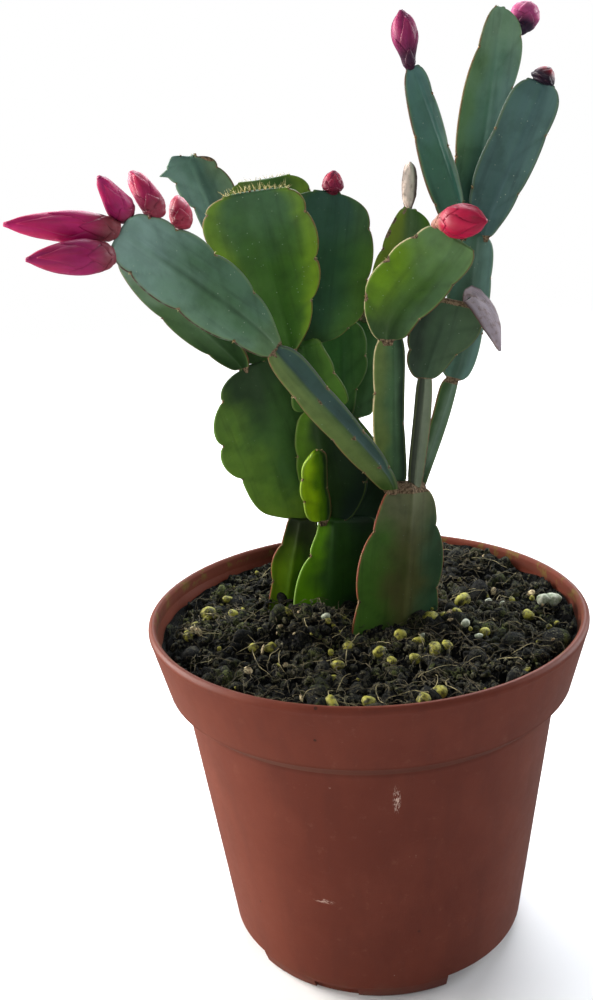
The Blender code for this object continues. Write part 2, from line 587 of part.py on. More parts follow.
def grow_buds(c2, c4, b5, f2, f3, f4, e3):
    grow_bud("bud_c2_long", on_top(c2, -0.3, -0.4), (-70.6, -54.0, 205.9), 3.4, foot=0.7)
    grow_bud("bud_c2_low", on_margin(c2, -1, 0.985, 1.6), (-65.4, -59.0, 199.0), 3.8, foot=0.6)
    grow_bud("bud_c2_middle", on_top(c2, 4.0, -1.8), (-50.6, -51.0, 214.0), 2.8, foot=0.74)
    grow_bud("bud_c2_high", on_margin(c2, 1, 0.90, -0.7), (-46.2, -39.0, 214.5), 2.7, foot=0.6)
    grow_bud("bud_c2_short", on_margin(c2, 1, 0.78), (-37.3, -36.0, 208.8), 2.5, foot=0.56)
    grow_bud("bud_b5", on_top(b5, 0.6), (-3.6, 9.2, 211.6), 2.8, foot=0.6)
    grow_bud("bud_c4", on_top(c4, -6.2, 0.8), (31.6, -17.0, 198.9), 4.2, foot=0.3)
    grow_bud("bud_f2", on_top(f2, 0.0), (13.9, 2.2, 247.2), 3.1, foot=0.3)
    grow_bud("bud_f3", on_margin(f3, 1, 0.93, -1.0), (46.6, 26.8, 249.5), 3.8)
    grow_bud("bud_f4", on_top(f4, 0.0), (49.6, 6.0, 232.6), 2.8)
    grow_bud("bud_e3_dried", on_top(e3, 0.0), (1.0, 37.0, 176.5), 2.9, tone="old green")


def grow_dried_flowers(c5, d1):
    grow_segment("dried_flower_c5", on_top(c5, 0.3), (15.8, 11.5, 212.6), 10.0,
                 (0.9, 1.3, 2.2, 2.4, 1.5, 0.5), (0.9, 1.3, 2.0, 2.2, 1.4, 0.5),
                 tone="papery", thick=0.8, neck=1.2, crown=0.8, depth=0.2, cup=-1.2, bow=0.8)
    grow_segment("dried_flower_d1", on_top(d1, 4.8, 0.3), (36.2, -6.0, 166.2), 25.0,
                 (0.9, 2.0, 3.4, 3.0, 1.4, 0.4), (0.9, 1.6, 2.4, 2.2, 1.2, 0.4),
                 tone="papery", thick=0.8, neck=1.2, crown=0.8, depth=0.2, rise=0.35, cup=-1.5, bow=3.0)


def main():
    clear_scene()
    make_pot()
    stems = grow_left_stem()
    middle, b5 = grow_middle_stem()
    stems.update(middle)
    e3 = grow_back_twig(stems["segment_b0"])
    front, c2, c4, c5, d1, f2, f3, f4 = grow_front_stem()
    stems.update(front)
    grow_buds(c2, c4, b5, f2, f3, f4, e3)
    grow_dried_flowers(c5, d1)
    make_soil(stems)


main()
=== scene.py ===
import math
import random

import bmesh
import bpy
from mathutils import Matrix, Vector, noise


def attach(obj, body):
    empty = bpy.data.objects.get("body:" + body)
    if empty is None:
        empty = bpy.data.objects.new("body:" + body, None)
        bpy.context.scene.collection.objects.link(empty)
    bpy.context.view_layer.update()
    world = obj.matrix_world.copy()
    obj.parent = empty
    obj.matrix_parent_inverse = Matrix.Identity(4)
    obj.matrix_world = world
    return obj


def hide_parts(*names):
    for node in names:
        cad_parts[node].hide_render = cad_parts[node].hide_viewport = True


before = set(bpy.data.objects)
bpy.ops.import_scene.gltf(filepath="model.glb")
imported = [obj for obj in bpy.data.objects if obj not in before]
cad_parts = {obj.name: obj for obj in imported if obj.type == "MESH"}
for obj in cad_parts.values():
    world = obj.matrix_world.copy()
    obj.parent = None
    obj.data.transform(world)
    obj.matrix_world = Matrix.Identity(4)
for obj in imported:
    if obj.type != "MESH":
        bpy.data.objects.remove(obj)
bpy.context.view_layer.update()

mm = 0.001  # every size below is in millimetres


def shade(red, green, blue):
    # a screen colour from 0 to 255, as linear light
    parts = [part / 255 for part in (red, green, blue)]
    return tuple(((part + 0.055) / 1.055) ** 2.4 if part > 0.04 else part / 12.92 for part in parts)


def blendTone(first, second, share):
    share = min(max(share, 0.0), 1.0)
    return tuple(a + (b - a) * share for a, b in zip(first, second))


def ease(low, high, value):
    # 0 below low, 1 above high, smooth between
    part = min(max((value - low) / (high - low), 0.0), 1.0)
    return part * part * (3 - 2 * part)


# Node graphs

class Wire:
    # one output socket; arithmetic on it adds Math nodes
    def __init__(self, graph, socket):
        self.graph = graph
        self.socket = socket

    def out(self, name):
        return Wire(self.graph, self.socket.node.outputs[name])

    def __add__(self, other):
        return self.graph.maths("ADD", self, other)

    def __radd__(self, other):
        return self.graph.maths("ADD", other, self)

    def __sub__(self, other):
        return self.graph.maths("SUBTRACT", self, other)

    def __rsub__(self, other):
        return self.graph.maths("SUBTRACT", other, self)

    def __mul__(self, other):
        return self.graph.maths("MULTIPLY", self, other)

    def __rmul__(self, other):
        return self.graph.maths("MULTIPLY", other, self)

    def __truediv__(self, other):
        return self.graph.maths("DIVIDE", self, other)

    def __pow__(self, other):
        return self.graph.maths("POWER", self, other)

    def above(self, low, high):
        # 0 below low, 1 above high, smooth between
        settings = {"interpolation_type": "SMOOTHSTEP"}
        return self.graph.node("ShaderNodeMapRange", settings, {0: self, 1: low, 2: high, 3: 0.0, 4: 1.0})


class Graph:
    def __init__(self, tree):
        self.tree = tree

    def node(self, kind, settings=None, values=None, output=0):
        made = self.tree.nodes.new(kind)
        for name, value in (settings or {}).items():
            setattr(made, name, value)
        for key, value in (values or {}).items():
            if isinstance(value, Wire):
                self.tree.links.new(value.socket, made.inputs[key])
            else:
                made.inputs[key].default_value = value
        return Wire(self, made.outputs[output])

    def maths(self, operation, first, second):
        return self.node("ShaderNodeMath", {"operation": operation}, {0: first, 1: second})

    def vector(self, operation, values, output=0):
        return self.node("ShaderNodeVectorMath", {"operation": operation}, values, output)

    def joined(self, parts):
        # a vector from some of its parts; the others are 0
        return self.node("ShaderNodeCombineXYZ", None, parts)

    def mix(self, share, first, second, blend="MIX"):
        settings = {"data_type": "RGBA", "blend_type": blend}
        return self.node("ShaderNodeMix", settings, {0: share, 6: first, 7: second}, output=2)

    def scaled(self, place, factors):
        return self.vector("MULTIPLY", {0: place, 1: factors})

    def grain(self, place, size, detail=3.0, rough=0.5):
        # soft noise from 0 to 1, with patches of the given size in metres
        values = {"Vector": place, "Scale": 1 / size, "Detail": detail, "Roughness": rough}
        return self.node("ShaderNodeTexNoise", None, values, output="Fac")

    def cells(self, place, size):
        # distance to the nearest point of a scatter, as a share of its spacing in metres
        values = {"Vector": place, "Scale": 1 / size}
        return self.node("ShaderNodeTexVoronoi", None, values, output="Distance")

    def attribute(self, name, output):
        return self.node("ShaderNodeAttribute", {"attribute_name": name}, output=output)

    def place(self):
        return self.node("ShaderNodeTexCoord", output="Object")

    def near(self, place, centre, reach):
        # 1 at a point of the object, fading to 0 at reach; both in millimetres
        point = tuple(part * mm for part in centre)
        gap = self.vector("DISTANCE", {0: place, 1: point}, output="Value")
        return 1 - gap.above(reach * mm * 0.35, reach * mm)

    def bump(self, height, depth, strength):
        values = {"Strength": strength, "Distance": depth * mm, "Height": height}
        return self.node("ShaderNodeBump", None, values)


def rgba(tone):
    return (*tone, 1.0)


def paint(red, green, blue):
    return rgba(shade(red, green, blue))


def newMaterial(name, constants):
    # a Principled material; constants are the shader's own sockets that are alike all over
    material = bpy.data.materials.new(name)
    material.use_nodes = True
    shader = material.node_tree.nodes["Principled BSDF"]
    for socket, value in constants.items():
        shader.inputs[socket].default_value = value
    return material, Graph(material.node_tree)


def feed(material, wires):
    shader = material.node_tree.nodes["Principled BSDF"]
    for socket, wire in wires.items():
        material.node_tree.links.new(wire.socket, shader.inputs[socket])
    return material


# Tones that more than one piece uses, or that a piece names

tones = {
    # the first tone is painted light: the glow of light through a pad's thin margins
    "paintedGlow": shade(104, 134, 10),
    "papery": shade(206, 190, 182),
    "umber": shade(62, 42, 36),
    "mauve": shade(156, 146, 154),
}


# Materials

skinLook = {
    "bandSize": (1.9, 22.0, 1.0),   # lengthwise bands, across and along the pad
    "blotchSize": 6.0,
    "speckSize": 1.4,
    "poreSize": 0.35,
    "rimLine": 0.34,                # width of the coloured margin
    "roughness": 0.50,
}

# colour of a margin's line, and how much of it shows
trims = {
    "none": ((60, 80, 40), 0.0),
    "faint": ((74, 70, 42), 0.45),
    "pale": ((128, 146, 84), 0.55),
    "rust": ((104, 60, 40), 0.75),
    "russet": ((120, 62, 44), 1.0),
    "cream": ((166, 152, 118), 0.9),
    "umber": ((70, 50, 38), 1.0),
}


def makeSkin():
    material, graph = newMaterial("cactusSkin", {"Specular IOR Level": 0.17})
    tone = graph.attribute("tone", "Color")
    speckShare = graph.attribute("tone", "Alpha")
    trim = graph.attribute("trim", "Color")
    trimShare = graph.attribute("trim", "Alpha")
    pad = graph.attribute("padMap", "Vector")
    marks = graph.attribute("marks", "Vector")
    parts = graph.node("ShaderNodeSeparateXYZ", None, {0: marks}, output="X")
    vein, cork, rim = parts, parts.out("Y"), parts.out("Z")
    place = graph.place()
    across, along, deep = skinLook["bandSize"]
    bands = graph.grain(graph.scaled(pad, (1 / across, 1 / along, 1 / deep)), 1.0, 3.0)
    blotch = graph.grain(place, skinLook["blotchSize"] * mm, 4.0, 0.6)
    colour = graph.mix(bands.above(0.40, 0.70) * 0.32, tone, paint(168, 182, 160), "SOFT_LIGHT")
    colour = graph.mix((1 - bands.above(0.28, 0.52)) * 0.24, colour, paint(120, 140, 128), "MULTIPLY")
    colour = graph.mix((1 - blotch.above(0.32, 0.60)) * 0.22, colour, paint(90, 112, 90), "MULTIPLY")
    colour = graph.mix(vein * 0.26, colour, paint(22, 42, 22))
    pores = graph.grain(place, skinLook["poreSize"] * mm, 2.0, 0.6)
    specks = graph.cells(place, skinLook["speckSize"] * mm)
    lone = graph.grain(place, 3.5 * mm, 1.0).above(0.47, 0.60)
    speckMask = (1 - specks.above(0.07, 0.13)) * lone * speckShare
    colour = graph.mix(speckMask, colour, paint(146, 162, 138))
    ragged = graph.grain(place, 1.8 * mm, 3.0).above(0.30, 0.58)
    edge = 1 - rim.above(skinLook["rimLine"] * 0.5, skinLook["rimLine"] * 1.15)
    inner = (1 - rim.above(skinLook["rimLine"], skinLook["rimLine"] * 2.6)) * (1 - edge)
    colour = graph.mix(inner * 0.30, colour, paint(108, 126, 62))
    colour = graph.mix(edge * trimShare * (0.45 + 0.55 * ragged), colour, trim)
    corkGrain = graph.grain(place, 0.7 * mm, 4.0, 0.7)
    corkMask = (cork + (corkGrain - 0.5) * 0.5).above(0.35, 0.62)
    corkTone = graph.mix(corkGrain.above(0.35, 0.65), paint(56, 44, 32), paint(128, 108, 84))
    colour = graph.mix(corkMask, colour, corkTone)
    roughness = skinLook["roughness"] + blotch * 0.10 + corkMask * 0.35 - (1 - bands) * 0.04
    height = pores * 0.35 + corkGrain * corkMask * 1.6 + bands * 0.25
    normal = graph.bump(height, 0.16, 0.5)
    return feed(material, {"Base Color": colour, "Roughness": roughness, "Normal": normal})


def makePetal():
    material, graph = newMaterial("budPetal", {"Specular IOR Level": 0.24})
    tone = graph.attribute("tone", "Color")
    pad = graph.attribute("padMap", "Vector")
    place = graph.place()
    stripes = graph.grain(graph.scaled(pad, (2.4, 0.16, 1.0)), 1.0, 3.0)
    colour = graph.mix(stripes.above(0.42, 0.72) * 0.30, tone, paint(190, 40, 90), "SOFT_LIGHT")
    patch = graph.grain(place, 2.2 * mm, 3.0)
    colour = graph.mix((1 - patch.above(0.35, 0.6)) * 0.16, colour, paint(120, 40, 70), "MULTIPLY")
    roughness = 0.40 + patch * 0.14
    normal = graph.bump(stripes * 0.4 + graph.grain(place, 0.25 * mm) * 0.3, 0.08, 0.4)
    return feed(material, {"Base Color": colour, "Roughness": roughness, "Normal": normal})


def makePapery():
    material, graph = newMaterial("driedPetal", {"Specular IOR Level": 0.25})
    tone = graph.attribute("tone", "Color")
    pad = graph.attribute("padMap", "Vector")
    place = graph.place()
    ribs = graph.grain(graph.scaled(pad, (2.2, 0.25, 1.0)), 1.0, 4.0)
    colour = graph.mix(ribs.above(0.38, 0.62) * 0.6, tone, paint(196, 186, 178), "SOFT_LIGHT")
    stain = graph.grain(place, 2.0 * mm, 4.0, 0.65)
    colour = graph.mix(stain.above(0.50, 0.72) * 0.55, colour, paint(104, 76, 62))
    normal = graph.bump(ribs + stain * 0.5, 0.22, 0.7)
    return feed(material, {"Base Color": colour, "Roughness": 0.70 + ribs * 0.2, "Normal": normal})


potLook = {
    "clay": shade(90, 39, 27),
    "clayPale": shade(102, 48, 34),
    "clayDark": shade(74, 33, 25),
    "damp": shade(44, 25, 20),
    "algae": shade(92, 88, 30),
}


def makePotPlastic():
    constants = {"Specular IOR Level": 0.12, "Sheen Weight": 0.06, "Sheen Roughness": 0.5}
    material, graph = newMaterial("potPlastic", {**constants, "Sheen Tint": (1.0, 0.58, 0.40, 1.0)})
    place = graph.place()
    parts = graph.node("ShaderNodeSeparateXYZ", None, {0: place})
    height = parts.out("Z")
    radius = graph.vector("LENGTH", {0: graph.scaled(place, (1, 1, 0))}, "Value")
    cloud = graph.grain(place, 22 * mm, 4.0, 0.6)
    flow = graph.grain(graph.scaled(place, (1, 1, 0.12)), 5 * mm, 3.0)
    colour = graph.mix(cloud.above(0.38, 0.68) * 0.5, rgba(potLook["clay"]), rgba(potLook["clayPale"]))
    colour = graph.mix((1 - flow.above(0.3, 0.55)) * 0.25, colour, rgba(potLook["clayDark"]))
    dust = graph.grain(place, 3.0 * mm, 5.0, 0.7)
    colour = graph.mix(dust.above(0.58, 0.74) * 0.10, colour, paint(150, 104, 86))
    upright = graph.scaled(place, (1, 1, 0.2))
    level = graph.scaled(place, (0.3, 0.3, 1))
    thin = graph.grain(upright, 0.24 * mm, 2.0).above(0.52, 0.58)
    scuff = graph.near(upright, (5.6, -50.0, 13.4), 1.2) * thin
    low = graph.near(level, (-4.1, -13.2, 33.0), 1.0) * graph.grain(level, 0.3 * mm, 2.0).above(0.46, 0.56)
    scatter = graph.grain(place, 0.8 * mm, 2.0).above(0.72, 0.76)
    scatter = scatter * graph.grain(place, 14 * mm).above(0.58, 0.70)
    colour = graph.mix(scuff * 0.8 + low * 0.5 + scatter * 0.30, colour, paint(196, 170, 156))
    flecks = 1 - graph.cells(place, 7.5 * mm).above(0.05, 0.075)
    flecks = flecks * graph.grain(place, 17 * mm, 1.0).above(0.50, 0.60)
    colour = graph.mix(flecks * 0.8, colour, paint(44, 24, 20))
    wallGap = radius - (height * 0.245 + 34.9 * mm)   # below the collar's inner face this is inside
    inside = (1 - wallGap.above(-0.3 * mm, 0.3 * mm)) * height.above(80 * mm, 84 * mm)
    dampLine = 1 - (height + (cloud - 0.5) * 0.008).above(90.5 * mm, 95.5 * mm)
    colour = graph.mix(inside * dampLine * 0.85, colour, rgba(potLook["damp"]))
    algae = inside * graph.grain(place, 4.0 * mm, 4.0, 0.65).above(0.52, 0.66)
    colour = graph.mix(algae * 0.5, colour, rgba(potLook["algae"]))
    foot = (1 - height.above(1.0 * mm, 7.0 * mm)) * graph.grain(place, 4.0 * mm, 4.0).above(0.42, 0.62)
    colour = graph.mix(foot * 0.35, colour, paint(88, 62, 50))
    # painted shade: the downward face under the collar is darkened, against the light that the floor throws
    # up on it
    crease = height.above(72.6 * mm, 75.2 * mm) * (1 - height.above(77.4 * mm, 79.2 * mm)) * (1 - inside)
    colour = graph.mix(crease * 0.6, colour, paint(58, 24, 17))
    roughness = 0.36 + dust * 0.20 + inside * 0.25 + scuff * 0.3 + crease * 0.5
    fine = graph.grain(place, 0.45 * mm, 2.0)
    normal = graph.bump(fine * 0.35 + graph.grain(place, 9 * mm, 2.0) * 1.2 + scuff * 0.5, 0.14, 0.5)
    return feed(material, {"Base Color": colour, "Roughness": roughness, "Normal": normal})


def makePeat(name, dark, pale, mossShare, paintedHollowShade=False):
    material, graph = newMaterial(name, {"Specular IOR Level": 0.18})
    place = graph.place()
    crumbs = graph.grain(place, 1.1 * mm, 5.0, 0.75)
    wide = graph.grain(place, 9.0 * mm, 4.0, 0.6)
    colour = graph.mix(crumbs.above(0.46, 0.64), rgba(dark), rgba(pale))
    thread = graph.grain(graph.scaled(place, (1, 0.3, 1)), 0.7 * mm, 3.0, 0.6).above(0.60, 0.66)
    thread = thread + graph.grain(graph.scaled(place, (0.3, 1, 1)), 0.8 * mm, 3.0, 0.6).above(0.61, 0.67)
    colour = graph.mix(thread * 0.45, colour, paint(92, 88, 62))
    moss = wide.above(0.50, 0.62) * crumbs.above(0.42, 0.58) * mossShare
    colour = graph.mix(moss, colour, paint(76, 84, 34))
    # painted highlights: small pale glints on the crumbs
    glint = graph.grain(place, 0.5 * mm, 2.0).above(0.67, 0.72)
    colour = graph.mix(glint * 0.7, colour, paint(150, 144, 112))
    # painted shadow: wide dark patches over the soil
    patch = 1 - graph.grain(place, 13 * mm, 3.0, 0.6).above(0.42, 0.56)
    colour = graph.mix(patch * 0.74, colour, paint(2, 5, 7))
    if paintedHollowShade:
        # painted shade: the low spots of the relief are darkened, as shadow in the cracks
        shadow = 1 - graph.attribute("relief", "Fac").above(0.22, 0.60)
        colour = graph.mix(shadow * 0.92, colour, paint(2, 3, 4))
    normal = graph.bump(crumbs + thread * 0.3, 1.0, 1.0)
    return feed(material, {"Base Color": colour, "Roughness": 0.78 + crumbs * 0.2, "Normal": normal})


def makeMottled(name, first, second, size, roughness, depth):
    # two tones mixed by noise, for what lies on the soil and for small hairy parts
    material, graph = newMaterial(name, {"Specular IOR Level": 0.3})
    place = graph.place()
    spots = graph.grain(place, size * mm, 4.0, 0.65)
    colour = graph.mix(spots.above(0.36, 0.64), rgba(first), rgba(second))
    normal = graph.bump(spots, depth, 0.8)
    return feed(material, {"Base Color": colour, "Roughness": roughness + spots * 0.1, "Normal": normal})


# Meshes

def meshOf(name, points, faces):
    mesh = bpy.data.meshes.new(name)
    mesh.from_pydata([tuple(mm * Vector(point)) for point in points], [], faces)
    return mesh


def objectOf(name, mesh, material=None):
    if material:
        mesh.materials.clear()
        mesh.materials.append(material)
    piece = bpy.data.objects.new(name, mesh)
    bpy.context.scene.collection.objects.link(piece)
    return piece


def finishPiece(piece, slotName, *nodes):
    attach(piece, "root")
    if nodes:
        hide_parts(*nodes)


def solidShape(name, build, **settings):
    # a mesh from one of the plain shapes that bmesh knows
    mesh = bpy.data.meshes.new(name)
    shell = bmesh.new()
    build(shell, **settings)
    shell.to_mesh(mesh)
    shell.free()
    return mesh


def bandFaces(first, bands, ring):
    # the quads between neighbouring rings of points
    faces = []
    for band in range(bands):
        low = first + band * ring
        for i in range(ring):
            j = (i + 1) % ring
            faces.append((low + i, low + j, low + ring + j, low + ring + i))
    return faces


def faceOutwards(mesh):
    shell = bmesh.new()
    shell.from_mesh(mesh)
    bmesh.ops.recalc_face_normals(shell, faces=shell.faces)
    shell.to_mesh(mesh)
    shell.free()


def addTones(mesh, vertexTones, vertexMap, vertexMarks=None, vertexTrims=None, specks=0.0):
    colours = mesh.color_attributes.new("tone", "FLOAT_COLOR", "POINT")
    colours.data.foreach_set("color", [part for tone in vertexTones for part in (*tone, specks)])
    if vertexTrims:
        edges = mesh.color_attributes.new("trim", "FLOAT_COLOR", "POINT")
        edges.data.foreach_set("color", [part for trim in vertexTrims for part in trim])
    layout = mesh.attributes.new("padMap", "FLOAT_VECTOR", "POINT")
    layout.data.foreach_set("vector", [part for place in vertexMap for part in place])
    if vertexMarks:
        marks = mesh.attributes.new("marks", "FLOAT_VECTOR", "POINT")
        marks.data.foreach_set("vector", [part for mark in vertexMarks for part in mark])


def grownMesh(name, points, faces, *layers):
    # a smooth closed mesh with the layers that addTones takes
    mesh = meshOf(name, points, faces)
    addTones(mesh, *layers)
    faceOutwards(mesh)
    mesh.shade_smooth()
    return mesh


# The flat stem segments. Their lines repeat those of the solids, with finer rows and columns.

padGrid = {
    "rowStep": 0.0145,      # largest step between two rows, as a share of the row parameter
    "columns": 26,          # steps across one face
    "rimThickness": 1.0,
    "tipReach": 0.33,
    "scallopPower": 0.7,
    "gap": 0.3,             # clearance of the solids at a joint
    "rootLength": 1.3,      # a foot runs this far into its parent, so that no gap shows
    "domeRows": 5,
    "midrib": 0.30,         # height of the midrib over the face
    "midribWidth": 0.085,
    "veinDepth": 0.13,
    "waveHeight": 0.35,
    "dentHeight": 0.16,
    "soilFoot": 80.0,       # height of the base pads' feet over the table
    "marginStep": 0.02,     # half the stretch over which the margin's direction is taken
    "leastWidth": 0.3,
    "waves": 5.2,           # turns of the margin's wave along a pad, in radians
    "dentSize": 5.5,
    "drift": ((0.30, 8.0), (0.12, 2.6)),    # height and size of the tones' wander
    "veinRise": 0.20,
    "veinWidth": 0.75,
    "areole": (0.2, 0.75),  # a notch's corky spot: solid up to the first, gone at the second
    "rootShrink": 0.5,
    "rootSqueeze": 0.8,
    "domeRise": 0.30,
    "domeTurn": 0.94,
}

padDefaults = {
    "leftCuts": (), "rightCuts": (), "thick": 2.6, "neck": 2.0, "crown": 1.8, "depth": 1.1, "rise": 0.2,
    "bow": 0.6, "cup": 0.8, "ridge": 1.4, "foot": None, "top": None, "corkFoot": 0.7, "corkTop": 0.0,
    "corkAll": 0.0, "veins": 1.0, "glow": 0.0, "corkSpots": (), "trims": ("faint", "faint"),
    "split": None, "footReach": 0.34, "topReach": 0.34, "streak": 0.0, "crest": (0.0, 0.0),
    "teeth": (),
}

